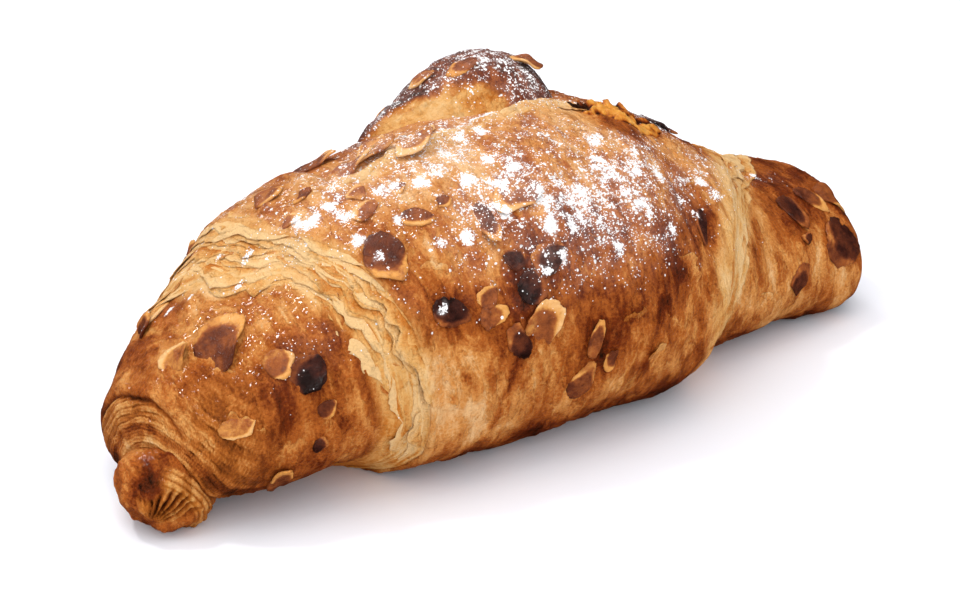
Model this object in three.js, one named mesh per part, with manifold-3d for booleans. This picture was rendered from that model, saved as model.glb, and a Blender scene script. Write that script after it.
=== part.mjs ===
// An almond croissant: laminated dough rolled into a straight horn shape, with sliced almonds baked on.
// Millimetres, +Z up, +X along the roll. The origin is in the middle of the flat underside.
// A place on the roll is a station along it and a turn round it: 0 degrees is the front, 90 the top.

import * as THREE from "three";
import { mergeVertices } from "three/addons/utils/BufferGeometryUtils.js";
import Module from "manifold-3d";

// Cross-sections of the rolled dough under its last wrap.
const SECTIONS = [
  { along: -88, half: 15, crest: 22.5, under: 4 },
  { along: -72, half: 24.5, crest: 35, under: 2.5 },
  { along: -50, half: 30, crest: 47.5, under: 1 },
  { along: -18, half: 35.5, crest: 54, under: -1.5 },
  { along: 12, half: 38, crest: 56, under: -2 },
  { along: 36, half: 32.5, crest: 47.5, under: -2 },
  { along: 60, half: 26.5, crest: 33, under: -2.5 },
  { along: 89, half: 23.5, crest: 26, under: -3 },
];
const HORN_BEND = 4; // how far the horns' ends lie in front of the middle
const LEFT_END = SECTIONS[0].along;
const RIGHT_END = SECTIONS[SECTIONS.length - 1].along;
const AXIS_RISE = 0.42; // height of the roll's axis, as a share of the section's height
const TOP_SQUARENESS = 2.2; // exponent of the section's oval above and below the axis
const UNDER_SQUARENESS = 2.2;
const SHOULDER = 8; // length of the rounding at each horn's end
const SHOULDER_SQUARENESS = 2.6;

// The last wrap of dough lies round the middle, and its edges show the dough's leaves as terraces.
const WRAP_THICKNESS = 3.6;
const WRAP_LEFT = { station: -57, tilt: 14, width: 13 };
const WRAP_RIGHT = { station: 55, tilt: -17, width: 10 };
const END_TILT = 3; // the left horn's end faces a little to the front
const END_TILT_REACH = 14;
const TILT_REACH = 30; // the tilt of a hoop fades over this length on both sides of an edge
const LEAVES = 3;
const TERRACE_TREAD = 0.55; // flat share of each terrace

// The wrap's free end on top is a seam, and the dough behind it dips before the tongue rises.
const SEAM = { turn: 92, from: -42, to: 24, fade: 14, drop: 6, lip: 5, dip: 16, reach: 60 };

// The oven split the crust from the crest down the front of the wrap.
const SPLIT = { top: 33, foot: 27, from: 12, to: 96, width: 3.4, depth: 2.2 };

const TONGUE = { centre: [1, 17, 43], half: [23.5, 20, 23.5], lean: 7 };
const KNOB = { centre: [-84.5, -11, 8.2], half: [9.5, 10, 8.7], ridges: 3, ridge: 0.7 };

// Torn scraps of crust along the top of the split: place, size, spin and tilt.
const SCRAPS = [
  { along: 22, turn: 84, width: 9, height: 4, spin: 100, tilt: 32 },
  { along: 29, turn: 82, width: 11, height: 5, spin: 60, tilt: 40 },
  { along: 36, turn: 78, width: 10, height: 5, spin: 20, tilt: 36 },
];
const SCRAP_THICKNESS = 1.2;
// Corners of a scrap's torn outline, as shares of its height and width.
const SCRAP_CORNERS = [[-0.3, -0.5], [0.5, -0.4], [0.75, -0.1], [0.6, 0.15], [0.9, 0.35], [-0.3, 0.5]];

// Sliced almonds: place, size, spin about the crust's normal and tilt off the crust, the largest first.
const ALMONDS = [
  { along: -71, turn: 64, length: 13, width: 10, spin: 17, tilt: 12 },
  { along: 78, turn: 21, length: 12, width: 11, spin: -30, tilt: 14 },
  { along: -41, turn: 51, length: 12, width: 8, spin: -98, tilt: 6 },
  { along: -11, turn: 54, length: 11, width: 8, spin: -7, tilt: 8 },
  { along: -27, turn: 100, length: 13, width: 7, spin: -20, tilt: 8 },
  { along: -34, turn: 116, length: 12, width: 7, spin: -30, tilt: 8 },
  { along: -21, turn: 88, length: 11, width: 7, spin: 2, tilt: 8 },
  { along: -15, turn: 17, length: 10, width: 8, spin: 48, tilt: 14 },
  { along: 83, turn: 52, length: 10, width: 6, spin: -40, tilt: 14 },
  { along: 68, turn: 43, length: 10, width: 6, spin: -80, tilt: 10 },
  { along: 5, turn: 105, length: 9, width: 7, spin: -34, tilt: 8 },
  { along: -5, turn: 108, length: 8, width: 6, spin: 12, tilt: 8 },
  { along: 20, turn: 116, length: 8, width: 5, spin: -30, tilt: 12 },
  { along: -78, turn: 79, length: 9, width: 6, spin: -16, tilt: 12 },
  { along: -68, turn: -14, length: 11, width: 4.5, spin: 74, tilt: 12 },
  { along: -61, turn: 28, length: 8, width: 7, spin: 31, tilt: 10 },
  { along: -33, turn: 28, length: 8, width: 6, spin: -38, tilt: 6 },
  { along: 76, turn: 51, length: 9, width: 5, spin: -56, tilt: 12 },
  { along: -48, turn: 109, length: 9, width: 5, spin: -40, tilt: 8 },
  { along: -7, turn: -5, length: 9, width: 5, spin: 56, tilt: 4 },
  { along: 62, turn: 3, length: 9, width: 5, spin: 59, tilt: 4 },
  { along: 42, turn: 88, length: 9, width: 5, spin: -20, tilt: 8 },
  { along: -21, turn: 14, length: 8, width: 5.5, spin: -74, tilt: 6 },
  { along: -19, turn: 49, length: 11, width: 4, spin: -99, tilt: 14 },
  { along: -16, turn: 27, length: 7, width: 6, spin: -74, tilt: 6 },
  { along: -76, turn: 138, length: 7, width: 5, spin: -26, tilt: 20 },
  { along: -65, turn: 37, length: 6, width: 6, spin: -8, tilt: 10 },
  { along: -75, turn: 21, length: 8, width: 4, spin: -17, tilt: 6 },
  { along: -38, turn: 72, length: 6, width: 5, spin: -6, tilt: 8 },
  { along: -31, turn: 60, length: 7, width: 4, spin: -35, tilt: 4 },
  { along: -25, turn: 23, length: 6, width: 5, spin: 7, tilt: 4 },
  { along: -17, turn: 37, length: 5, width: 5, spin: 0, tilt: 8 },
];
// More slices lie on the back, spread by even steps along the roll.
const BACK_ALMONDS = { count: 12, from: -72, step: 13, lowest: 136, spread: 40, stride: 17 };
const BACK_ALMOND_SIZES = { shortest: 7, narrowest: 5, flattest: 5, spin: 67 };
const ALMOND_THICKNESS = 1.1;
const ALMOND_SINK = 0.45; // how deep a slice sits in the crust
const ALMOND_BOW = 0.05; // how far a slice bends, as a share of its length
const ALMOND_POINT = 0.4; // how full the pointed end is, as a share of its length

// Unevenness of the crust: two waves, each with its change for each millimetre along and each turn round.
const CRAG = 0.4;
const CRAG_WAVES = [
  { along: 0.11, round: 3, shift: 0 },
  { along: 0.23, round: -5, shift: 1.3 },
];
const AROUND = 50;
// Rows of facets along the roll: the shoulders and the wrap's edges take the most.
const ROWS = [
  { from: LEFT_END, to: -80, count: 6, crowd: 2 },
  { from: -80, to: -66, count: 6, crowd: 1 },
  { from: -66, to: -48, count: 14, crowd: 1 },
  { from: -48, to: 47, count: 20, crowd: 1 },
  { from: 47, to: 61, count: 11, crowd: 1 },
  { from: 61, to: 82, count: 6, crowd: 1 },
  { from: 82, to: RIGHT_END, count: 6, crowd: 0.5 },
];
const CRUST_COLOUR = 0xc98a46;
const REACH = 200; // longer than the croissant, for rays and for the cut at the floor

const wasm = await Module();
wasm.setup();
const { smoothstep, clamp, degToRad } = THREE.MathUtils;

function solidOf(geometry) {
  geometry.deleteAttribute("normal");
  geometry.deleteAttribute("uv");
  const merged = mergeVertices(geometry, 1e-3);
  const vertProperties = merged.attributes.position.array;
  const triVerts = new Uint32Array(merged.index.array);
  return new wasm.Manifold(new wasm.Mesh({ numProp: 3, vertProperties, triVerts }));
}

function geometryOf(solid) {
  const mesh = solid.getMesh();
  const geometry = new THREE.BufferGeometry();
  geometry.setAttribute("position", new THREE.BufferAttribute(mesh.vertProperties, 3));
  geometry.setIndex(new THREE.BufferAttribute(mesh.triVerts, 1));
  geometry.computeVertexNormals();
  return geometry;
}

// A section's size at a place along the roll, on a smooth curve through SECTIONS.
function sectionSize(name, along) {
  const last = SECTIONS.length - 1;
  const x = clamp(along, SECTIONS[0].along, SECTIONS[last].along);
  let i = 0;
  while (i < last - 1 && x > SECTIONS[i + 1].along) i += 1;
  const slope = (k) => {
    const a = SECTIONS[Math.max(k - 1, 0)];
    const b = SECTIONS[Math.min(k + 1, last)];
    return (b[name] - a[name]) / (b.along - a.along);
  };
  const span = SECTIONS[i + 1].along - SECTIONS[i].along;
  const t = (x - SECTIONS[i].along) / span;
  const rise = SECTIONS[i + 1][name] - SECTIONS[i][name];
  const early = slope(i) * span - rise;
  const late = rise - slope(i + 1) * span;
  return SECTIONS[i][name] + t * rise + t * (1 - t) * ((1 - t) * early + t * late);
}

// Height of the roll's axis.
function axisHeight(along) {
  const under = sectionSize("under", along);
  return under + AXIS_RISE * (sectionSize("crest", along) - under);
}

// Sideways place of the roll's axis: the horns bend a little to the front.
function axisSway(along) {
  return -HORN_BEND * (along / RIGHT_END) ** 2;
}

// A flight of even steps from 0 to 1, each with a rounded nose.
function stairs(t, steps) {
  const climbed = clamp(t, 0, 1) * steps;
  const whole = Math.min(Math.floor(climbed), steps - 1);
  return (whole + smoothstep(climbed - whole, TERRACE_TREAD, 1)) / steps;
}

// The wrap's edges run round the roll as tilted hoops, further out at the back than at the front.
function hoopTilt(station) {
  const near = (edge) => 1 - smoothstep(Math.abs(station - edge.station), 0, TILT_REACH);
  const end = END_TILT * (1 - smoothstep(station - LEFT_END, 0, END_TILT_REACH));
  return WRAP_LEFT.tilt * near(WRAP_LEFT) + WRAP_RIGHT.tilt * near(WRAP_RIGHT) + end;
}

function wrapCover(station) {
  const left = (station - WRAP_LEFT.station) / WRAP_LEFT.width + 0.5;
  const right = (WRAP_RIGHT.station - station) / WRAP_RIGHT.width + 0.5;
  return stairs(left, LEAVES) * stairs(right, LEAVES);
}

// How far the dough lies below the wrap behind its free end.
function seamDrop(along, degrees) {
  const past = degrees - SEAM.turn;
  const here = smoothstep(along, SEAM.from, SEAM.from + SEAM.fade)
    * (1 - smoothstep(along, SEAM.to - SEAM.fade, SEAM.to));
  const across = smoothstep(past, 0, SEAM.lip) * (1 - smoothstep(past, SEAM.dip, SEAM.reach));
  return SEAM.drop * here * across;
}

function splitDepth(along, degrees) {
  const t = (degrees - SPLIT.from) / (SPLIT.to - SPLIT.from);
  const middle = THREE.MathUtils.lerp(SPLIT.foot, SPLIT.top, t);
  const across = Math.exp(-(((along - middle) / SPLIT.width) ** 2));
  return SPLIT.depth * across * smoothstep(t, 0, 0.3) * (1 - smoothstep(t, 0.8, 1));
}

function crag(along, turn) {
  const swell = (wave) => Math.sin(wave.along * along + wave.round * turn + wave.shift);
  return CRAG * CRAG_WAVES.reduce((sum, wave) => sum + swell(wave), 0);
}

// How far the section is open: it closes over a rounded shoulder at each horn's end.
function shoulder(station) {
  const end = station > 0 ? RIGHT_END : -LEFT_END;
  const reach = Math.abs(station);
  const t = clamp((reach - end + SHOULDER) / SHOULDER, 0, 1);
  return (1 - t ** SHOULDER_SQUARENESS) ** (1 / SHOULDER_SQUARENESS);
}

function bodyPoint(station, turn) {
  const close = shoulder(station);
  const along = station + close * hoopTilt(station) * Math.cos(turn);
  const degrees = (THREE.MathUtils.radToDeg(turn) + 450) % 360 - 90;
  const axis = axisHeight(along);
  const above = Math.sin(turn) > 0;
  const tall = above ? sectionSize("crest", along) - axis : axis - sectionSize("under", along);
  const power = above ? TOP_SQUARENESS : UNDER_SQUARENESS;
  const oval = (Math.abs(Math.cos(turn)) / sectionSize("half", along)) ** power
    + (Math.abs(Math.sin(turn)) / tall) ** power;
  const relief = WRAP_THICKNESS * wrapCover(station) + crag(along, turn)
    - seamDrop(along, degrees) - splitDepth(along, degrees);
  const radius = close * (oval ** (-1 / power) + relief);
  return new THREE.Vector3(along, axisSway(along) - radius * Math.cos(turn), axis + radius * Math.sin(turn));
}

function stations() {
  const list = [ROWS[0].from];
  for (const { from, to, count, crowd } of ROWS)
    for (let k = 1; k <= count; k += 1) list.push(from + (to - from) * (k / count) ** crowd);
  return list;
}

// A sphere whose rows are laid out along the roll.
function rolledDough() {
  const rows = stations();
  const sphere = new THREE.SphereGeometry(1, AROUND, rows.length - 1);
  const place = sphere.attributes.position;
  for (let i = 0; i < place.count; i += 1) {
    const row = Math.floor(i / (AROUND + 1));
    const turn = ((i % (AROUND + 1)) / AROUND) * 2 * Math.PI;
    const point = bodyPoint(rows[row], turn);
    place.setXYZ(i, point.x, point.y, point.z);
  }
  return solidOf(sphere);
}

// The puffed end of the inner dough, which rises behind the seam and is steeper at its right end.
function tongue() {
  const sphere = new THREE.SphereGeometry(1, 24, 18).rotateZ(Math.PI / 2);
  const place = sphere.attributes.position;
  const [cx, cy, cz] = TONGUE.centre;
  const [hx, hy, hz] = TONGUE.half;
  for (let i = 0; i < place.count; i += 1) {
    const [x, y, z] = [place.getX(i), place.getY(i), place.getZ(i)];
    place.setXYZ(i, cx + hx * x + TONGUE.lean * (1 - x * x), cy + hy * y, cz + hz * z);
  }
  return solidOf(sphere);
}

// The curled end of the roll, with the dough's turns as ridges round it.
function knob() {
  const sphere = new THREE.SphereGeometry(1, 24, 20).rotateZ(Math.PI / 2);
  const place = sphere.attributes.position;
  const [cx, cy, cz] = KNOB.centre;
  const [hx, hy, hz] = KNOB.half;
  for (let i = 0; i < place.count; i += 1) {
    const [x, y, z] = [place.getX(i), place.getY(i), place.getZ(i)];
    const out = Math.hypot(y, z);
    const swell = 1 + (KNOB.ridge / hy) * Math.sin(2 * Math.PI * KNOB.ridges * out + Math.atan2(z, y));
    place.setXYZ(i, cx + hx * x * swell, cy + hy * y * swell, cz + hz * z * swell);
  }
  return solidOf(sphere);
}

// The place on the outside at a turn round the roll, and the way out there.
function onCrust(crust, { along, turn }) {
  const t = degToRad(turn);
  const out = new THREE.Vector3(0, -Math.cos(t), Math.sin(t));
  const start = new THREE.Vector3(along, axisSway(along), axisHeight(along)).addScaledVector(out, REACH);
  const [hit] = new THREE.Raycaster(start, out.clone().negate()).intersectObject(crust);
  return { point: hit.point, normal: hit.face.normal.clone() };
}

// Turns a flat piece onto the crust: spin about the normal, then a tilt that lifts its far end.
function layOnCrust(geometry, crust, piece, sink) {
  const { point, normal } = onCrust(crust, piece);
  const forward = new THREE.Vector3(1, 0, 0).projectOnPlane(normal).normalize();
  const side = new THREE.Vector3().crossVectors(normal, forward);
  const frame = new THREE.Matrix4().makeBasis(forward, side, normal);
  frame.multiply(new THREE.Matrix4().makeRotationZ(degToRad(piece.spin)));
  frame.multiply(new THREE.Matrix4().makeRotationY(-degToRad(piece.tilt)));
  frame.setPosition(point.addScaledVector(normal, -sink));
  return geometry.applyMatrix4(frame);
}

// Slices on the back, with places, sizes and turns that never repeat side by side.
function backAlmonds() {
  const { count, from, step, lowest, spread, stride } = BACK_ALMONDS;
  const { shortest, narrowest, flattest, spin } = BACK_ALMOND_SIZES;
  return Array.from({ length: count }, (_, i) => ({
    along: from + step * i,
    turn: lowest + (stride * i) % spread,
    length: shortest + (5 * i) % 6,
    width: narrowest + (3 * i) % 4,
    spin: (spin * i) % 180,
    tilt: flattest + (4 * i) % 9,
  }));
}

function almondSlice({ length, width }) {
  const outline = new THREE.Shape();
  outline.moveTo(-length / 2, 0);
  outline.quadraticCurveTo(-length / 2, -width / 2, 0, -width / 2);
  outline.quadraticCurveTo(length * ALMOND_POINT, -width / 2, length / 2, 0);
  outline.quadraticCurveTo(length * ALMOND_POINT, width / 2, 0, width / 2);
  outline.quadraticCurveTo(-length / 2, width / 2, -length / 2, 0);
  const slice = new THREE.ExtrudeGeometry(outline, {
    depth: ALMOND_THICKNESS,
    bevelEnabled: false,
    curveSegments: 3,
  });
  const place = slice.attributes.position;
  for (let i = 0; i < place.count; i += 1) {
    const x = place.getX(i) / (length / 2);
    place.setZ(i, place.getZ(i) + ALMOND_BOW * length * x * x);
  }
  return slice;
}

function scrap({ width, height }) {
  const corners = SCRAP_CORNERS.map(([up, across]) => new THREE.Vector2(up * height, across * width));
  return new THREE.ExtrudeGeometry(new THREE.Shape(corners), { depth: SCRAP_THICKNESS, bevelEnabled: false });
}

function floorCut() {
  return solidOf(new THREE.BoxGeometry(2 * REACH, REACH, REACH).translate(0, 0, -REACH / 2));
}

function croissant() {
  const dough = rolledDough().add(tongue()).add(knob()).subtract(floorCut());
  const crust = new THREE.Mesh(geometryOf(dough));
  let whole = dough;
  for (const piece of SCRAPS)
    whole = whole.add(solidOf(layOnCrust(scrap(piece), crust, piece, 0)));
  for (const piece of [...ALMONDS, ...backAlmonds()])
    whole = whole.add(solidOf(layOnCrust(almondSlice(piece), crust, piece, ALMOND_SINK)));
  const material = new THREE.MeshStandardMaterial({ color: CRUST_COLOUR, roughness: 0.6, metalness: 0 });
  const mesh = new THREE.Mesh(geometryOf(whole), material);
  mesh.name = "croissant";
  return mesh;
}

const group = new THREE.Group();
group.add(croissant());
export default group;
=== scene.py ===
"""An almond croissant: rolled laminated dough with toasted almond slices and icing sugar.

Lengths in this file are millimetres until a mesh is filled, and turns round the roll are degrees:
0 is the front, 90 the top, 180 the back. A station is a place along the roll before its hoop is tilted.
"""

import bpy
import numpy as np
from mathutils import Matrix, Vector
from mathutils.bvhtree import BVHTree


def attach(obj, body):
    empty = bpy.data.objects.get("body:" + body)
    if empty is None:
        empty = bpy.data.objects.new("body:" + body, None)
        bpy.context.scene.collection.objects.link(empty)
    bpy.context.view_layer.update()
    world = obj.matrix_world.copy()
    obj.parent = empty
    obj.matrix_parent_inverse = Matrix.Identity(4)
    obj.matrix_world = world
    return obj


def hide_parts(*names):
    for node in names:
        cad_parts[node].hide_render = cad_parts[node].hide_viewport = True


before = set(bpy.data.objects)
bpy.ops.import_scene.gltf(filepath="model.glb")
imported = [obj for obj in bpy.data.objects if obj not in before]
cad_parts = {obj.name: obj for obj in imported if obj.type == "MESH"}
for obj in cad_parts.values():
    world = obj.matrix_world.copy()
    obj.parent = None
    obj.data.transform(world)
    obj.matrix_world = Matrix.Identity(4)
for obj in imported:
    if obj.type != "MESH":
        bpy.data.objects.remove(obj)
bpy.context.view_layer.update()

bl_info = {
    "name": "Almond Croissant",
    "version": (1, 0, 0),
    "blender": (4, 5, 0),
    "location": "View3D > Sidebar > Croissant",
    "description": "Models an almond croissant with laminated dough, toasted almonds and icing sugar",
    "category": "Add Mesh",
}

MM = 0.001
BODY = "root"
NODE = "croissant"
DOUGH = ("rolled_dough", "last_wrap", "tongue", "curled_end")
CRUST = "baked egg-washed crust"
AMBER = "thin amber crust"
ALMOND = "toasted almond"
SUGAR = "icing sugar"
PAPER = "white sweep paper"

# Cross-sections of the rolled dough under its last wrap: place along the roll, half width, crest, underside.
SECTIONS = np.array([
    (-88, 15, 22.5, 4),
    (-72, 24.5, 35, 2.5),
    (-50, 30, 47.5, 1),
    (-18, 35.5, 54, -1.5),
    (12, 38, 56, -2),
    (36, 32.5, 47.5, -2),
    (60, 26.5, 33, -2.5),
    (89, 23.5, 26, -3),
])
ALONG, HALF, CREST, UNDER = range(4)
LEFT_END, RIGHT_END = SECTIONS[0, ALONG], SECTIONS[-1, ALONG]
HORN_BEND = 4
AXIS_RISE = 0.42
SQUARENESS = 2.2
SHOULDER, SHOULDER_SQUARENESS = 8, 2.6
END_TILT, END_TILT_REACH = 3, 14
DEGREE_LENGTH = 0.6  # one degree of turn on the crust, in millimetres

# The last wrap: its edges are hoops, and the leaves of dough show beside them as terraces from first to last.
# At each of LEAN_TURNS an edge lies that far along from its station, fading inward and outward of the edge.
WRAP_THICKNESS = 3.6
WRAP_NOSE = 0.7
LEAN_TURNS = (-90, -20, 0, 30, 60, 90, 180, 270)
LEFT_EDGE = {"station": -58.5, "lean": (4, 16, 16, 14, 9, 0, -7, 4), "inner": 38, "outer": 29,
             "first": -7.5, "last": 6, "side": 1, "seed": 101}
RIGHT_EDGE = {"station": 64, "lean": (-12, -34, -30, -22, -11, 0, 8, -12), "inner": 76, "outer": 25,
              "first": -6, "last": 5, "side": -1, "seed": 131}
EDGES = (LEFT_EDGE, RIGHT_EDGE)
LEAF_RISE = 2.7

# The wrap's free end on top, with the lip along it, and the valley behind it.
SEAM = {"turn": 91, "from": -42, "to": 24, "fade": 14, "drop": 6, "dip": 16, "reach": 60,
        "lip": 3, "lip_rise": 0.9, "lip_back": 1.5}
# The oven split the crust from the crest down the front of the wrap.
SPLIT = {"top": 33, "foot": 27, "from": 12, "to": 96, "width": 3.4, "depth": 2.2}
# The puffed end of the inner dough behind the seam.
TONGUE = {"centre": (1, 17, 43), "half": (23.5, 19.5, 22.5), "lean": 7}
# The curled end of the left horn, with the directions of its burnt spot and of the root of its pleats,
# and which way is up as the pleats spread.
KNOB = {"centre": (-84.5, -11, 8), "half": (9.3, 10, 8.3), "spot": (-0.70, -0.39, 0.61),
        "root": (-0.75, -0.54, -0.39), "up": (0.27, 0.38, 0.88), "pleat": 14}

# Browner and paler strokes on the crust, some painted sheen: start and end (along, turn), half width,
# strength.
STROKES = [
    # Paler strip at the top of the left end: a painted sheen.
    ((-88, 40), (-82, 20), 6, -0.16),
    ((-80, 30), (-78, 6), 7, 0.1),
    ((-86, 120), (-76, 80), 8, -0.2),
    ((-82, 75), (-70, 60), 9, -0.1),
    ((-62, 125), (-56, 85), 8, -0.16),
    ((-44, -8), (-45, 14), 5, 0.12),
    ((-46, 52), (-42, 62), 6, 0.22),
    ((-30, -22), (0, -20), 6, 0.08),
    ((2, 6), (12, 10), 9, 0.18),
    ((-40, 102), (4, 102), 8, -0.3),
    ((54, -14), (66, -6), 7, -0.16),
    ((-68, 4), (-60, 10), 8, -0.1),
    ((-38, -15), (-36, 12), 9, -0.32),
    ((-25, -12), (0, -8), 9, -0.2),
    ((-22, 0), (-10, 8), 7, -0.14),
    ((-34, 27), (-34, 27), 6, 0.22),
    ((-32, 14), (-28, 22), 6, 0.06),
    ((-20, 12), (-8, 40), 8, 0.06),
    ((0, 18), (18, 35), 12, 0.02),
    # Paler on the wrap's front right: partly the crust's own tone, partly a painted sheen.
    ((14, 0), (30, 12), 10, -0.18),
    ((28, 20), (31, 36), 5, 0.12),
    ((10, -6), (24, 4), 8, 0.03),
    ((-46, 75), (-20, 80), 13, -0.2),
    ((-20, 72), (18, 75), 13, -0.19),
    ((-38, 45), (-20, 52), 9, -0.14),
    ((0, 52), (20, 55), 9, -0.08),
    ((44, 60), (56, 72), 7, -0.2),
    ((38, 2), (52, 2), 8, -0.14),
    ((66, 80), (88, 60), 12, 0.1),
    ((84, -25), (90, 10), 6, 0.25),
    ((21, 84), (31, 46), 3.5, 0.14),
    ((4, 48), (28, 50), 9, -0.1),
    ((31, 46), (30, 28), 3, 0.08),
    # Paler on the right horn's front: partly the crust's own tone, partly a painted sheen.
    ((54, 20), (76, 5), 14, -0.22),
    ((36, 82), (42, 96), 4, 0.28),
    ((-20, 14), (-27, -12), 1.3, 0.25),
    ((-4, 10), (-2, -2), 1.4, 0.25),
    ((12, 12), (8, -6), 1.2, 0.2),
    ((-33, 8), (-33, 8), 1.2, 0.28),
    ((-36, 2), (-36, 2), 1.1, 0.28),
    ((66, 30), (66, 30), 4, 0.12),
    ((-40, 150), (30, 140), 22, -0.06),
]

# Sliced almonds: place (along, turn), length, width, spin, tilt, how dark they are toasted.
ALMONDS = [
    (-71, 64, 13, 10, 17, 9, 0.62),
    (78, 21, 11.5, 11, -30, 3, 0.86),
    (-41, 51, 12, 8, -98, 6, 0.65),
    (-11, 54, 11, 8, -7, 8, 0.5),
    (-27, 100, 13, 7, -20, 16, 0.42),
    (-34, 116, 12, 7, -30, 14, 0.55),
    (-21, 88, 11, 7, 2, 14, 0.36),
    (-15, 17, 10, 8, 48, 14, 0.42),
    (83, 52, 10, 6, -40, 3, 0.6),
    (68, 43, 10, 6, -80, 4, 0.8),
    (3, 110, 9, 5, -10, 4, 0.6),
    (-4, 118, 7, 3.5, -40, 8, 0.45),
    (17, 108, 8, 5, -20, 20, 0.5),
    (-78, 79, 9, 6, -16, 12, 0.35),
    (-68, -14, 11, 4.5, 74, 12, 0.6),
    (-61, 28, 8, 7, 31, 10, 0.95),
    (-33, 28, 8, 6, -38, 6, 0.9),
    (76, 51, 9, 5, -56, 3, 0.6),
    (-48, 109, 9, 5, -40, 8, 0.5),
    (-7, -5, 9, 5, 56, 4, 0.7),
    (61.5, 7, 9, 5, 59, 4, 0.85),
    (42, 88, 9, 5, -20, 8, 0.85),
    (-21, 14, 8, 5.5, -74, 6, 0.8),
    (-19, 49, 11, 4, -99, 14, 0.6),
    (-16, 27, 7, 6, -74, 6, 0.85),
    (-76, 138, 7, 5, -26, 20, 0.7),
    (-65, 37, 6, 6, -8, 10, 0.52),
    (-75, 21, 8, 4, -17, 6, 0.42),
    (-38, 72, 6, 5, -6, 8, 0.45),
    (-31, 60, 7, 4, -35, 4, 0.6),
    (-25, 23, 6, 5, 7, 4, 0.6),
    (-17, 37, 5, 5, 0, 8, 0.75),
    (-59, 12, 4, 3.5, 20, 5, 0.75),
    (-61, -2, 3.5, 3, 60, 5, 0.8),
    (-22, 106, 5, 5, 10, 30, 0.24),
    (-14, 99, 10, 3, 4, 10, 0.3),
    (-32, 97, 13, 4, -16, 18, 0.5),
    (-37, 81, 5, 4, 40, 8, 0.45),
    (-50, 87, 5, 3, -20, 10, 0.5),
    (-25, 61, 3, 3, 0, 10, 0.6),
    (-30, 74, 3.5, 3, 30, 8, 0.5),
    (-45, 94, 5, 2, 0, 10, 0.5),
    (-11, 34, 8, 6, 20, 8, 0.8),
    (-25, 29, 5, 4, 30, 6, 0.65),
    (-4, 8, 10, 3, 72, 5, 0.6),
    (-1, 0, 5, 2.5, 64, 5, 0.6),
    (30, 31, 8, 3, -97, 6, 0.85),
    (67, 27, 3, 3, 0, 6, 0.85),
]
# More slices on the back, in a slanting row: turns from lowest on, spread over a band.
BACK_ALMONDS = {"count": 12, "from": -72, "step": 13, "lowest": 136, "spread": 40, "stride": 17}
ALMOND_THICKNESS = 0.6
# Caramel that bubbled out round the darker slices, as strokes on the crust.
HALOS = [((along, turn), (along, turn), 0.6 * length, 0.13 * toast)
         for along, turn, length, *_, toast in ALMONDS if toast > 0.55]

# Drifts of fine icing sugar: start and end (along, turn), half width, thickness.
DRIFTS = [
    ((-50, 80), (-16, 78), 7, 0.35),
    ((-14, 64), (22, 64), 10, 0.6),
    ((-8, 46), (26, 50), 8, 0.7),
    ((36, 50), (45, 62), 5, 0.5),
    ((-24, 52), (-14, 62), 6, 0.4),
    ((-14, 33), (12, 33), 6, 0.4),
    ((36, 84), (44, 96), 5, 0.8),
    ((62, 80), (70, 78), 4, 0.3),
    ((-60, 40), (-62, 32), 5, 0.12),
    ((-40, 90), (20, 92), 4, 0.5),
    ((-38, 100), (0, 100), 5, 0.4),
    ((19, 82), (31, 50), 4, -0.9),
    ((-45, 66), (25, 58), 16, 0.14),
    ((-40, 140), (30, 140), 20, 0.4),
]

# Sugar clumps: place (along, turn) and half width.
CLUMPS = [
    (-48, 80, 2.6), (-50, 84, 1.8), (-43, 82, 2), (-42, 75, 2.2), (-32, 76, 2.4), (-26, 71, 2),
    (-21, 74, 2.2), (-17, 66, 2.4), (-10, 70, 1.8), (-13, 60, 2.2), (-16, 54, 1.8), (-15, 50, 1.6),
    (-24, 48, 1.8), (-30, 49, 1.4), (-42, 53, 1), (-35, 30, 1.1), (-7, 64, 1.6), (-7, 53, 2), (-7, 48, 1.8),
    (-8, 41, 1.8), (-8, 33, 1.2), (14, 66, 2.4), (10, 55, 2.8), (11, 51, 2), (12, 45, 1.6), (13, 40, 1.6),
    (14, 36, 1.4), (17, 50, 1.6), (23, 48, 1.6), (27, 40, 1.4), (29, 36, 1.4), (36, 49, 1.8), (38, 43, 1.8),
    (68, 81, 1.2), (9, 95, 1.6), (10, 101, 1.8), (11, 106, 1.8), (1, 104, 1.2), (2, 96, 1.4), (15, 102, 1.4),
    (-11, 85, 1.8), (-6, 85, 1.8), (-13, 92, 1.4), (-59, 93, 1.4), (-61, 110, 1), (-63, 84, 1), (-69, 110, 1),
    (-72, 124, 1), (-43, 63, 1.6), (-34, 63, 1.4), (2, 49, 2), (3, 39, 1.6), (-4, 40, 1.4), (-13, 31, 1.2),
    (19, 31, 1.2), (4, 29, 1.2),
]


def linear(code):
    """The linear colour of an sRGB hex value."""
    values = [int(code[i:i + 2], 16) / 255 for i in (0, 2, 4)]
    return (*(v / 12.92 if v <= 0.04045 else ((v + 0.055) / 1.055) ** 2.4 for v in values), 1)


def colour_of(name, description, code):
    """A colour that a user may change, from its sRGB hex value."""
    return bpy.props.FloatVectorProperty(
        name=name, description=description, default=linear(code), size=4, min=0, max=1, subtype="COLOR")


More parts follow.
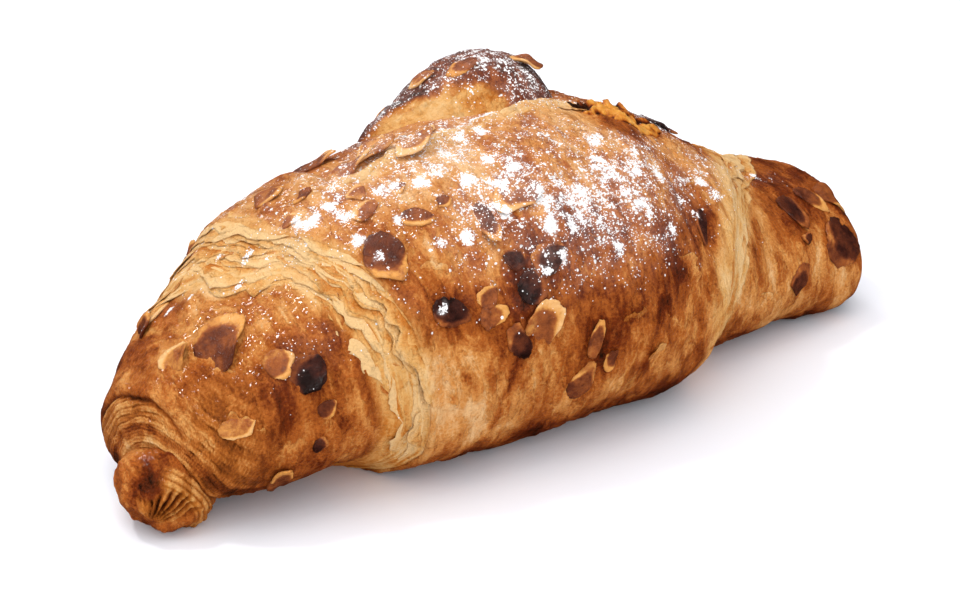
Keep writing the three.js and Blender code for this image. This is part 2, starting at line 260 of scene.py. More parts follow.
class CroissantSettings(bpy.types.PropertyGroup):
    """Sizes and colours of the croissant."""

    leaf_count: bpy.props.IntProperty(
        name="Leaves", description="Leaves of dough that show at each edge of the wrap",
        default=14, min=4, max=40)
    browning: bpy.props.FloatProperty(
        name="Browning", description="How dark the crust is baked",
        default=0.54, min=0, max=1, subtype="FACTOR")
    sugar: bpy.props.FloatProperty(
        name="Sugar", description="How thickly icing sugar lies on top", default=1, min=0, max=2)
    sugar_lumps: bpy.props.IntProperty(
        name="Sugar lumps", description="Lumps in each clump of icing sugar", default=24, min=1, max=40)
    lens: bpy.props.FloatProperty(
        name="Lens", description="Focal length of the camera", default=79.5, min=20, max=200, unit="CAMERA")
    crust_pale: colour_of("Pale crust", "Crust that is hardly baked", "e8b67e")
    crust_golden: colour_of("Golden crust", "Crust that is lightly baked", "d38d48")
    crust_brown: colour_of("Brown crust", "Crust as most of it is baked", "ab5a21")
    crust_dark: colour_of("Dark crust", "Crust that is baked most", "6e2a0b")
    crust_burnt: colour_of("Burnt crust", "Crust that is burnt", "240e07")
    leaf_pale: colour_of("Pale leaf", "Leaves of dough at the wrap's edges", "e6bd84")
    leaf_amber: colour_of("Amber leaf", "Gaps between leaves, where light comes through them", "c4762c")
    almond_pale: colour_of("Pale almond", "Almond slices that are hardly toasted", "e9b87c")
    almond_brown: colour_of("Brown almond", "Almond slices that are well toasted", "9c5426")
    sugar_white: colour_of("Sugar white", "Icing sugar", "f8f6f5")


# Noise and easing.

def ramp(value, low, high):
    """0 below low, 1 above high, with a smooth rise between them."""
    t = np.clip((value - low) / (high - low), 0, 1)
    return t * t * (3 - 2 * t)


def between(value, low, high, fall_from, fall_to):
    """1 between high and fall_from, with a smooth rise before and a smooth fall after."""
    return ramp(value, low, high) * (1 - ramp(value, fall_from, fall_to))


def bell(value, width):
    """1 where value is 0, falling away smoothly on both sides."""
    return np.exp(-(value / width) ** 2)


def unit(vectors):
    """Vectors of length 1 in the same directions."""
    return vectors / np.linalg.norm(vectors, axis=-1, keepdims=True)


def evened(values, reach):
    """Values averaged with their neighbours up to that many steps away."""
    return np.convolve(np.pad(values, reach, "edge"), np.ones(2 * reach + 1) / (2 * reach + 1), "valid")


def grain(points, size, seed):
    """Smooth noise from -1 to 1 with lumps of about that size, in millimetres."""
    side = 48
    table = np.random.default_rng(seed).uniform(-1, 1, side ** 3)
    place = points / np.asarray(size, float)
    cell = np.floor(place).astype(int)
    t = place - cell
    t = t * t * (3 - 2 * t)
    low, high = cell % side, (cell + 1) % side
    sheets = []
    for x in (low[:, 0], high[:, 0]):
        rows = []
        for y in (low[:, 1], high[:, 1]):
            start = (x * side + y) * side
            near, far = table[start + low[:, 2]], table[start + high[:, 2]]
            rows.append(near + (far - near) * t[:, 2])
        sheets.append(rows[0] + (rows[1] - rows[0]) * t[:, 1])
    return sheets[0] + (sheets[1] - sheets[0]) * t[:, 0]


def layered(points, size, seed, layers=3):
    """Noise with finer noise on top of it, each layer half as large and half as strong."""
    size = np.asarray(size, float)
    return sum(grain(points, size / 2 ** k, seed + k) / 2 ** k for k in range(layers)) / 1.5


def plates(points, size, seed):
    """Plateaus with sharp edges, from -1 to 1, like a crust whose top leaf has come off in places."""
    return 2 * ramp(layered(points, size, seed, layers=4), -0.05, 0.05) - 1


# The roll.

def section_size(column, along):
    """A section's size at a place along the roll, on a smooth curve through SECTIONS."""
    place, size = SECTIONS[:, ALONG], SECTIONS[:, column]
    count = len(place)
    x = np.clip(along, place[0], place[-1])
    i = np.clip(np.searchsorted(place, x) - 1, 0, count - 2)
    before = np.maximum(np.arange(count) - 1, 0)
    after = np.minimum(np.arange(count) + 1, count - 1)
    slope = (size[after] - size[before]) / (place[after] - place[before])
    span, rise = place[i + 1] - place[i], size[i + 1] - size[i]
    t = (x - place[i]) / span
    early = slope[i] * span - rise
    late = rise - slope[i + 1] * span
    return size[i] + t * rise + t * (1 - t) * ((1 - t) * early + t * late)


def axis_height(along):
    """How high the roll's axis lies."""
    under = section_size(UNDER, along)
    return under + AXIS_RISE * (section_size(CREST, along) - under)


def axis_sway(along):
    """How far to the front the axis lies: the horns bend forward."""
    return -HORN_BEND * (along / RIGHT_END) ** 2


def axis_point(along):
    """Points on the roll's axis."""
    return np.stack((along, axis_sway(along), axis_height(along)), axis=-1)


def hoop_shift(station, turn):
    """How far along from its station a hoop lies: the wrap's edges run inward at the front."""
    shift = END_TILT * (1 - ramp(station - LEFT_END, 0, END_TILT_REACH)) * np.cos(turn)
    for edge in EDGES:
        inward = (station - edge["station"]) * edge["side"]
        fade = 1 - ramp(np.abs(inward), 0, np.where(inward > 0, edge["inner"], edge["outer"]))
        shift = shift + fade * np.interp(degrees_of(turn), LEAN_TURNS, edge["lean"])
    return shift


def shoulder(station):
    """How far the section is open: it closes over a rounded shoulder at each horn's end."""
    end = np.where(station > 0, RIGHT_END, -LEFT_END)
    t = np.clip((np.abs(station) - end + SHOULDER) / SHOULDER, 0, 1)
    return (1 - t ** SHOULDER_SQUARENESS) ** (1 / SHOULDER_SQUARENESS)


def degrees_of(turn):
    """A turn in degrees, from -90 under the roll round to 270."""
    return (np.degrees(turn) + 450) % 360 - 90


def turn_of(points):
    """The turn of points on the crust, in degrees."""
    along = points[:, 0]
    return degrees_of(np.arctan2(points[:, 2] - axis_height(along), axis_sway(along) - points[:, 1]))


def roll_point(station, turn, relief, close):
    """Points on the roll, with relief added to the section's radius and close shrinking it to the axis."""
    along = station + close * hoop_shift(station, turn)
    axis = axis_height(along)
    tall = np.where(np.sin(turn) > 0, section_size(CREST, along) - axis, axis - section_size(UNDER, along))
    oval = (np.abs(np.cos(turn)) / section_size(HALF, along)) ** SQUARENESS
    oval = oval + (np.abs(np.sin(turn)) / tall) ** SQUARENESS
    radius = close * (oval ** (-1 / SQUARENESS) + relief)
    return np.column_stack((along, axis_sway(along) - radius * np.cos(turn), axis + radius * np.sin(turn)))


def crag(along, turn):
    """Broad, shallow dents all over the roll."""
    return 0.4 * (np.sin(0.11 * along + 3 * turn) + np.sin(0.23 * along - 5 * turn + 1.3))


def crust_relief(points):
    """Lumps, hoop-wise wrinkles, blisters and flaked plates of a baked crust."""
    lumps = 0.45 * layered(points, 11, seed=11)
    wrinkles = 0.14 * layered(points, (1.8, 11, 11), seed=21)
    blisters = 0.5 * np.maximum(grain(points, 3.6, seed=31), 0) ** 2.5
    flaked = 0.13 * plates(points, (5, 12, 12), seed=35) + 0.1 * plates(points, (2.6, 6, 6), seed=38)
    return lumps + wrinkles + blisters + flaked


def seam_drop(along, degrees):
    """How far the dough lies below the wrap behind its free end, whose lip stands up a little."""
    past = degrees - SEAM["turn"]
    here = between(along, SEAM["from"], SEAM["from"] + SEAM["fade"], SEAM["to"] - SEAM["fade"], SEAM["to"])
    valley = SEAM["drop"] * between(past, 0, SEAM["lip"], SEAM["dip"], SEAM["reach"])
    return here * (valley - SEAM["lip_rise"] * bell(past + SEAM["lip_back"], SEAM["lip"]))


def split_depth(along, degrees):
    """How deep the split in the crust is, fading out at its top and its foot."""
    t = (degrees - SPLIT["from"]) / (SPLIT["to"] - SPLIT["from"])
    middle = SPLIT["foot"] + (SPLIT["top"] - SPLIT["foot"]) * t
    return SPLIT["depth"] * bell(along - middle, SPLIT["width"]) * between(t, 0, 0.3, 0.8, 1)


def leaf_spread(turn):
    """The leaves beside the wrap lie closer together at the front than on top."""
    return 0.85 - 0.25 * np.cos(turn)


def inward_of(station, turn, edge):
    """How far a hoop lies toward the middle from an edge of the wrap."""
    return (station - edge["station"]) * edge["side"] / leaf_spread(turn)


def leaf_relief(station, turn, points, edge, count):
    """Height of the terraces beside an edge of the wrap, and pale noses and painted shade at the feet of
    their leaves.
    """
    first, last, seed = edge["first"], edge["last"], edge["seed"]
    draw = np.random.default_rng(seed)
    places = first + (last - first) / count * (np.arange(count) + draw.uniform(0.1, 0.9, count))
    rises = draw.uniform(0.2, 2, count)
    rises *= LEAF_RISE / rises.sum()
    inward = inward_of(station, turn, edge)
    height = np.where(inward > last, LEAF_RISE, 0.0)
    pale_nose_and_foot_shade = np.zeros(len(station))
    near = np.abs(inward - (first + last) / 2) < (last - first) / 2 + 5
    for k in range(count):
        apart = points[near] + (97 * k, 0, 0)
        wander = 3 * layered(apart, (40, 19, 19), seed + 7) + 0.9 * grain(apart, (40, 6, 6), seed + 9)
        past = inward[near] - places[k] - wander - 0.25 * grain(apart, (40, 2, 2), seed + 10)
        there = ramp(grain(apart, (40, 14, 14), seed + 11), -0.5, 0.1)
        # A leaf's nose is pale; its foot, a groove, is darker, partly by baking and partly with painted
        # shade.
        nose = there * (bell(past - 0.35, 0.3) - 0.9 * bell(past + 0.4, 0.35))
        height[near] += rises[k] * (ramp(past, -1.3, 0.3) - (inward[near] > last)) + 0.06 * nose
        pale_nose_and_foot_shade[near] += nose
    return height, pale_nose_and_foot_shade


def in_leaves(station, turn, edge):
    """1 among the leaves beside an edge of the wrap, fading out past them."""
    inward = inward_of(station, turn, edge)
    return between(inward, edge["first"] - 3, edge["first"] + 1, edge["last"], edge["last"] + 7)


def strokes_at(along, degrees, strokes, ragged):
    """The sum of strokes at each place, with edges as ragged as that noise."""
    here = np.column_stack((along, degrees * DEGREE_LENGTH))
    total = np.zeros(len(here))
    for (along_a, turn_a), (along_b, turn_b), width, strength in strokes:
        start = np.array((along_a, turn_a * DEGREE_LENGTH))
        run = np.array((along_b, turn_b * DEGREE_LENGTH)) - start
        t = np.clip((here - start) @ run / max(run @ run, 1e-9), 0, 1)
        distance = np.linalg.norm(here - start - t[:, None] * run, axis=1) / width + 0.35 * ragged
        total += strength * np.exp(-distance ** 2)
    return total


def browning(points, along, degrees, base):
    """How dark the crust is baked: patches, a dark underside of real browning and painted shade, and the
    strokes.
    """
    bake = base + 0.16 * layered(points, 17, seed=41) + 0.15 * layered(points, (4, 8, 8), seed=51)
    bake += 0.05 * plates(points, (5, 12, 12), seed=35)
    # Darker toward the underside: partly real browning, partly painted shade on the lower edge.
    bake += 0.2 * ramp(-np.sin(np.radians(degrees)), 0.2, 0.45)
    return bake + strokes_at(along, degrees, STROKES + HALOS, layered(points, 4, seed=61))


def dusting(points, along, degrees, amount):
    """How thickly icing sugar lies: drifts of fine dust, and clumps with uneven outlines."""
    drift = np.clip(strokes_at(along, degrees, DRIFTS, layered(points, 5, seed=71)), 0, 1.2)
    thick = drift * (0.75 + 0.8 * layered(points, 7, seed=75))
    aside, about = 1.1 * layered(points, 2.4, seed=81), 1.1 * layered(points, 2.4, seed=85)
    for clump_along, clump_degrees, width in CLUMPS:
        distance = np.hypot(along - clump_along + aside, (degrees - clump_degrees) * DEGREE_LENGTH + about)
        thick = np.maximum(thick, 2.2 * np.exp(-(distance / (0.85 * width)) ** 4))
    return amount * thick


# Meshes.

def places_of(piece):
    """The places of a piece's vertices."""
    place = np.empty(len(piece.data.vertices) * 3)
    piece.data.vertices.foreach_get("co", place)
    return place.reshape(-1, 3)


def added_ball(name, rows, around):
    """A sphere whose rows are to be laid along the roll: the object, each vertex's row and its turn."""
    bpy.ops.object.select_all(action="DESELECT")
    bpy.ops.mesh.primitive_uv_sphere_add(segments=around, ring_count=rows - 1, radius=1)
    piece = bpy.context.active_object
    piece.name = piece.data.name = name
    place = places_of(piece)
    row = np.rint(np.arccos(np.clip(place[:, 2], -1, 1)) / np.pi * (rows - 1)).astype(int)
    return piece, row, np.arctan2(place[:, 1], place[:, 0])


def added_oval(name, fineness, form):
    """A sphere to be shaped as an oval: the object, its vertices' directions, and their places on it."""
    piece, _, _ = added_ball(name, fineness, fineness)
    ball = places_of(piece)[:, [2, 0, 1]] * (-1, 1, 1)
    return piece, ball, np.array(form["centre"]) + np.array(form["half"]) * ball


def on_floor(points):
    """Points in metres from points in millimetres, no lower than the floor."""
    return np.column_stack((points[:, :2], np.maximum(points[:, 2], 0))) * MM


def note(piece, **values):
    """Stores a number for each vertex, for the materials to read."""
    for name, value in values.items():
        stored = piece.data.attributes.new(name, "FLOAT", "POINT")
        stored.data.foreach_set("value", np.broadcast_to(value, len(piece.data.vertices)).astype(np.float32))


def joined_mesh(name, parts):
    """One object from parts of (points, faces, numbers for each vertex)."""
    points, faces, numbers, start = [], [], {}, 0
    for part_points, part_faces, part_numbers in parts:
        points.append(part_points)
        faces.extend([[k + start for k in face] for face in part_faces])
        for key, value in part_numbers.items():
            numbers.setdefault(key, []).append(np.broadcast_to(value, len(part_points)))
        start += len(part_points)
    mesh = bpy.data.meshes.new(name)
    mesh.from_pydata(on_floor(np.concatenate(points)).tolist(), [], faces)
    piece = bpy.data.objects.new(name, mesh)
    bpy.context.scene.collection.objects.link(piece)
    note(piece, **{key: np.concatenate(value) for key, value in numbers.items()})
    return piece


def sheet(grid, thickness):
    """Points and faces of a thin closed sheet through a grid of points."""
    rows, columns = grid.shape[:2]
    normal = np.cross(np.gradient(grid, axis=0), np.gradient(grid, axis=1))
    normal /= np.maximum(np.linalg.norm(normal, axis=2, keepdims=True), 1e-9)
    points = np.concatenate([(grid + side * thickness / 2 * normal).reshape(-1, 3) for side in (1, -1)])
    index = np.arange(rows * columns).reshape(rows, columns)
    top = np.stack((index[:-1, :-1], index[1:, :-1], index[1:, 1:], index[:-1, 1:]), axis=2).reshape(-1, 4)
    under = top[:, ::-1] + rows * columns
    border = np.concatenate((index[:, 0], index[-1, 1:], index[-2::-1, -1], index[0, -2:0:-1]))
    after = np.roll(border, -1)
    rim = np.column_stack((border, border + rows * columns, after + rows * columns, after))
    return points, np.concatenate((top, under, rim)).tolist()


def hand_over(context, piece, material):
    """Finishes a piece: its material, smooth shading, and its place on the body."""
    piece.data.materials.append(bpy.data.materials.get(material) or MAKERS[material](context.scene.croissant))
    bpy.ops.object.select_all(action="DESELECT")
    piece.select_set(True)
    context.view_layer.objects.active = piece
    bpy.ops.object.shade_smooth()
    TREES.pop(piece.name, None)
    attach(piece, BODY)
    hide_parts(NODE)


def hand_over_dough(context, piece, points, **values):
    """Finishes a piece of dough: moves its vertices to their points, and stores their numbers."""
    piece.data.vertices.foreach_set("co", on_floor(points).ravel())
    piece.data.update()
    note(piece, **values)
    hand_over(context, piece, CRUST)


# Places on the finished crust.

TREES = {}
OUTSIDE = 90  # far enough from the axis to be outside the crust


def crust_trees(context, names):
    """Search trees of pieces, each made once."""
    depsgraph = context.evaluated_depsgraph_get()
    for name in names:
        if name not in TREES:
            TREES[name] = BVHTree.FromObject(bpy.data.objects[name], depsgraph)
    return [TREES[name] for name in names]


def crust_point(trees, along, degrees):
    """The outermost point at a place along the roll and a turn, found from outside."""
    turn = np.radians(degrees)
    out = np.array((0, -np.cos(turn), np.sin(turn)))
    start, heading = Vector((axis_point(along) + OUTSIDE * out) * MM), Vector(-out)
    hits = [hit for hit in (tree.ray_cast(start, heading) for tree in trees) if hit[0] is not None]
    if not hits:
        raise RuntimeError(f"nothing to lie on at {along}, {degrees}")
    return np.array(min(hits, key=lambda hit: hit[3])[0]) / MM


def crust_points(trees, alongs, turns):
    """The outermost points at places along the roll and turns."""
    return np.array([crust_point(trees, *place) for place in zip(alongs, turns)])


def crust_frame(trees, along, degrees, reach):
    """A point on the crust with the directions along the roll, round it and outward, taken over reach."""
    swing = reach / DEGREE_LENGTH
    ahead = crust_point(trees, along + reach, degrees) - crust_point(trees, along - reach, degrees)
    round_roll = crust_point(trees, along, degrees + swing) - crust_point(trees, along, degrees - swing)
    out = unit(np.cross(ahead, round_roll))
    ahead = unit(ahead)
    return crust_point(trees, along, degrees), ahead, np.cross(out, ahead), out


# Materials.

WARM_SHEEN = "f0c090"
MIXED_COLOUR = 2  # the output of a mix node that holds a colour


def add_node(tree, kind, inputs=(), output=0, stops=(), **settings):
    """Adds a shader node and gives back one of its outputs. Inputs are sockets to link or plain values, by
    name or in order. Stops are a ramp's colours, and settings are the node's own values."""
    made = tree.nodes.new("ShaderNode" + kind)
    for key, value in settings.items():
        setattr(made, key, value)
    for key, value in inputs.items() if isinstance(inputs, dict) else enumerate(inputs):
        if isinstance(value, bpy.types.NodeSocket):
            tree.links.new(value, made.inputs[key])
        else:
            made.inputs[key].default_value = value
    for k, (place, colour) in enumerate(stops):
        element = made.color_ramp.elements[k] if k < 2 else made.color_ramp.elements.new(place)
        element.position = place
        element.color = linear(colour) if isinstance(colour, str) else colour
    return made.outputs[output] if made.outputs else None


def maths(tree, operation, *inputs):
    """A sum, a product or the like of sockets and numbers."""
    return add_node(tree, "Math", inputs, operation=operation)


def mapped(tree, value, low, high, to_low=0, to_high=1):
    """A value from low to high, mapped onto another range and kept inside it."""
    return add_node(tree, "MapRange", (value, low, high, to_low, to_high))


def stored(tree, name):
    """A number that the vertices store."""
    return add_node(tree, "Attribute", output="Fac", attribute_name=name)


def noise(tree, where, size, detail, rough, twist=0):
    """Noise with lumps of about that size, in millimetres."""
    return add_node(tree, "TexNoise", {
        "Vector": where, "Scale": 1 / (size * MM), "Detail": detail, "Roughness": rough, "Distortion": twist})


def cells(tree, where, size):
    """Distances from the middles of cells of about that size, in millimetres."""
    return add_node(tree, "TexVoronoi", {"Vector": where, "Scale": 1 / (size * MM)})


def bumps(tree, height, strength, depth, invert=False):
    """The normals of a surface that is bumpy to that depth, in millimetres."""
    inputs = {"Height": height, "Strength": strength, "Distance": depth * MM}
    return add_node(tree, "Bump", inputs, invert=invert)


def covered(tree, cover, under, over):
    """A colour with another over it."""
    return add_node(tree, "Mix", {"Factor": cover, "A": under, "B": over}, MIXED_COLOUR, data_type="RGBA")


def new_material(name):
    """A material with an empty node tree, and the tree."""
    material = bpy.data.materials.new(name)
    material.use_nodes = True
    material.node_tree.nodes.clear()
    return material, material.node_tree


def surfaced(material, inputs):
    """The material with a surface that has these inputs."""
    surface = add_node(material.node_tree, "BsdfPrincipled", inputs)
    add_node(material.node_tree, "OutputMaterial", {"Surface": surface})
    return material


def sugar_cover(tree, where):
    """How far icing sugar covers a surface: a thin veil, and grains of two sizes, more and larger ones where
    it lies thick."""
    patch = noise(tree, where, 2.2, 4, 0.6)
    thick = maths(tree, "MULTIPLY", stored(tree, "sugar"), mapped(tree, patch, 0.3, 0.7, 0.2, 1.6))
    cover = mapped(tree, thick, 0, 1.2, 0, 0.16)
    for size, strength in ((0.36, 0.76), (0.85, 0.32)):
        distance = cells(tree, where, size)
        lot = add_node(tree, "SeparateColor", (distance.node.outputs["Color"],))
        over = maths(tree, "SUBTRACT", maths(tree, "MULTIPLY", thick, strength), lot)
        radius = maths(tree, "MULTIPLY_ADD", over, 0.5, -0.13)
        inside = maths(tree, "SUBTRACT", maths(tree, "ADD", patch, radius), distance)
        chosen = maths(tree, "GREATER_THAN", over, 0)
        grains = maths(tree, "MULTIPLY", mapped(tree, inside, 0, 0.12), chosen)
        cover = maths(tree, "MAXIMUM", cover, grains)
    return cover


def baked_crust(settings):
    """Egg-washed laminated dough, baked: blotched from straw to dark brown, with flaked skins and blisters,
    and glossy in patches. Leaves that the glaze didn't reach are pale and dull. Icing sugar dusts it."""
    material, tree = new_material(CRUST)
    where = add_node(tree, "TexCoord", output="Object")
    leaf = stored(tree, "leaf")
    hoops, strands = (add_node(tree, "Mapping", {"Vector": where, "Scale": (1, squeeze, squeeze)})
                      for squeeze in (0.5, 0.2))
    marble = noise(tree, hoops, 4, 6, 0.55, 0.8)
    speck = noise(tree, where, 0.6, 3, 0.65)
    streak = noise(tree, strands, 0.8, 3, 0.55)
    skins = mapped(tree, noise(tree, hoops, 5, 7, 0.62, 0.3), 0.49, 0.51)
    blister = maths(tree, "POWER", cells(tree, where, 2.4), 2)
    shade = stored(tree, "bake")
    for pattern, strength in ((marble, 0.75), (speck, 0.5), (streak, 0.3), (skins, 0.09)):
        shade = maths(tree, "MULTIPLY_ADD", maths(tree, "SUBTRACT", pattern, 0.5), strength, shade)
    colour = add_node(tree, "ValToRGB", (shade,), stops=[
        (0, settings.crust_pale), (1, settings.crust_burnt), (0.25, settings.crust_golden),
        (0.47, settings.crust_brown), (0.72, settings.crust_dark)])
    leaf_colour = add_node(tree, "ValToRGB", (shade,), stops=[
        (0, settings.leaf_pale), (1, "9c4c14"), (0.32, "dca45e"), (0.58, settings.leaf_amber)])
    dust = sugar_cover(tree, where)
    colour = covered(tree, dust, covered(tree, leaf, colour, leaf_colour), settings.sugar_white)
    dull = maths(tree, "MAXIMUM", leaf, dust)
    patchy = mapped(tree, marble, 0.49, 0.62, 0, 0.8)
    moist = mapped(tree, shade, 0.5, 0.8, 1, 0.4)
    glaze = maths(tree, "SUBTRACT", 1, dull)
    for share in (patchy, moist):
        glaze = maths(tree, "MULTIPLY", glaze, share)
    height = speck
    for pattern, strength in ((streak, 0.4), (blister, -0.5), (skins, 0.22)):
        height = maths(tree, "MULTIPLY_ADD", pattern, strength, height)
    return surfaced(material, {
        "Base Color": colour, "Roughness": mapped(tree, dull, 0, 1, 0.42, 0.75),
        "Normal": bumps(tree, height, 0.9, 0.9), "Specular IOR Level": 0.14,
        "Specular Tint": linear(WARM_SHEEN), "Coat Weight": glaze, "Coat IOR": 1.5, "Coat Roughness": 0.06,
        "Coat Normal": bumps(tree, blister, 0.8, 0.9, invert=True)})


def amber_crust(settings):
    """A thin leaf of crust that lifted and caramelised: amber, glossy, and light shines through it."""
    material, tree = new_material(AMBER)
    where = add_node(tree, "TexCoord", output="Object")
    mottle = noise(tree, where, 1.6, 4, 0.6)
    shade = maths(tree, "MULTIPLY_ADD", mottle, 0.7, stored(tree, "bake"))
    colour = add_node(tree, "ValToRGB", (shade,), stops=[
        (0, "e0aa58"), (1, settings.crust_burnt), (0.35, "cb8534"), (0.6, "a4561a"), (0.8, "6e2c0e")])
    return surfaced(material, {
        "Base Color": colour, "Roughness": 0.32, "Normal": bumps(tree, mottle, 0.9, 0.9),
        "Subsurface Weight": 0.1, "Subsurface Radius": (1, 0.4, 0.1), "Subsurface Scale": 1.2 * MM,
        "Specular IOR Level": 0.15, "Specular Tint": linear(WARM_SHEEN)})


def toasted_almond(settings):
    """Sliced almond, toasted: cream to dark brown from slice to slice, browner in the middle than at the
    rim, with a faint grain and a waxy sheen."""
    material, tree = new_material(ALMOND)
    where = add_node(tree, "TexCoord", output="Object")
    fibre = noise(tree, where, 1.6, 6, 0.68)
    uneven = maths(tree, "SUBTRACT", fibre, 0.5)
    shade = stored(tree, "toast")
    for pattern, strength in ((uneven, 0.6), (stored(tree, "rim"), -0.34)):
        shade = maths(tree, "MULTIPLY_ADD", pattern, strength, shade)
    colour = add_node(tree, "ValToRGB", (shade,), stops=[
        (0, settings.almond_pale), (1, "1c0a06"), (0.25, "d9964a"), (0.45, settings.almond_brown),
        (0.65, "67311a"), (0.85, "3c1a12")])
    colour = covered(tree, sugar_cover(tree, where), colour, settings.sugar_white)
    bump = bumps(tree, fibre, 0.9, 0.8)
    return surfaced(material, {
        "Base Color": colour, "Roughness": 0.34, "Normal": bump, "Specular IOR Level": 0.12,
        "Coat Weight": mapped(tree, fibre, 0.52, 0.66, 0, 0.7), "Coat Roughness": 0.1, "Coat Normal": bump})


def icing_sugar(settings):
    """Icing sugar in lumps: a soft, matt, very slightly cool white."""
    material, _ = new_material(SUGAR)
    return surfaced(material, {
        "Base Color": settings.sugar_white, "Roughness": 0.9, "Specular IOR Level": 0.2})


MAKERS = {CRUST: baked_crust, AMBER: amber_crust, ALMOND: toasted_almond, SUGAR: icing_sugar}


# Pieces.

class CROISSANT_OT_roll(bpy.types.Operator):
    """Rolls the dough: both horns with their leaves, and the core under the wrap"""

    bl_idname = "croissant.roll"
    bl_label = "Roll"

    around = 262
    # Rows of vertices over the left and the right shoulder.
    cap_rows = (76, 28)
    # Rows of vertices between them: from, to, how many. They are close together where leaves show.
    rows = [(LEFT_END + SHOULDER, -68, 40), (-68, -46, 120), (-46, 50, 8), (50, 58, 10), (58, 72, 70),
            (72, RIGHT_END - SHOULDER, 26)]
    # How much less the leaves are browned.
    leaf_paler = 0.14
    # Where the left end's face swells from, and where the sugar ends before it.
    end_middle, sugar_end = -70, -80
    # Distances on that face: from one wound layer to the next, between strands, and out to the browner band.
    layer_step, strand_step, band_distance = 1.15, 0.6, 11.2

    def execute(self, context):
        settings = context.scene.croissant
        left_cap, right_cap = (
            SHOULDER * (1 - np.sin(np.linspace(np.pi / 2, 0, count)) ** (2 / SHOULDER_SQUARENESS))
            for count in self.cap_rows)
        body = [low + (high - low) * np.arange(1, count + 1) / count for low, high, count in self.rows]
        stations = np.concatenate((LEFT_END + left_cap, *body, RIGHT_END - right_cap[-2::-1]))
        piece, row, turn = added_ball("rolled_dough", len(stations), self.around)
        station = stations[row]
        close = shoulder(station)
        along = station + close * hoop_shift(station, turn)
        degrees = degrees_of(turn)
        base = roll_point(station, turn, 0, close)
        heights, pale_noses_and_foot_shade = zip(*(leaf_relief(station, turn, base, edge, settings.leaf_count) for edge in EDGES))
        leaf = np.maximum(*(in_leaves(station, turn, edge) for edge in EDGES))
        relief = np.minimum(*heights) + crag(along, turn) + crust_relief(base) * (1 - 0.6 * leaf)
        points = roll_point(station, turn, relief, close)
        # Leaves are paler, their noses more so; their feet are darker, partly with painted shade.
        bake = browning(points, along, degrees, settings.browning) - self.leaf_paler * leaf * (1 + sum(pale_noses_and_foot_shade))
        end_relief, end_bake, end_leaf = self.end_face(station, close, base)
        points += end_relief[:, None] * unit(base - axis_point(self.end_middle))
        sugar = dusting(points, along, degrees, settings.sugar) * (station > self.sugar_end)
        hand_over_dough(context, piece, points, bake=bake + end_bake, leaf=np.maximum(leaf, end_leaf),
                        sugar=sugar)
        return {"FINISHED"}

    def end_face(self, station, close, base):
        """The left horn's end: layers wound round the knob, a browner band among them, and a lip of crust."""
        left = station < 0
        above = ramp(base[:, 1], -19, -11)
        face = left * np.maximum(1 - ramp(close, 0.8, 0.92), (1 - above) * (1 - ramp(station, -82, -73)))
        rim = left * above * bell(close - 0.93, 0.05)
        lip = left * above * bell(close - 0.86 + 0.02 * layered(base, 3, seed=149), 0.016)
        distance = np.hypot(0.9 * (base[:, 1] - KNOB["centre"][1]), base[:, 2] - KNOB["centre"][2])
        layer = distance / self.layer_step + 0.6 * layered(base, 8, seed=151) + 0.2 * grain(base, 2, seed=155)
        gap_with_painted_shade = bell(layer % 1 - 0.5, 0.12) * ramp(layered(base, 4, seed=157), -0.4, 0.3)
        tone = np.sin(2.4 * np.floor(layer + 0.5) + 0.5)
        strand = np.sin(2 * np.pi * (distance / self.strand_step + layered(base, 5, seed=159)))
        band = bell(distance - self.band_distance + layered(base, 5, seed=163), 1.5)
        relief = face * (0.12 * tone - 0.45 * gap_with_painted_shade + 0.06 * strand + 0.1) + 0.6 * rim - 0.7 * lip
        # Painted shade darkens the gaps between the layers here, and the groove under the lip in the line
        # below.
        bake = face * (0.04 - 0.1 * above - 0.12 * tone + 0.2 * gap_with_painted_shade - 0.1 * strand + 0.24 * band * above)
        return relief, bake + 0.4 * lip, 0.4 * face * (1 - 0.8 * band)


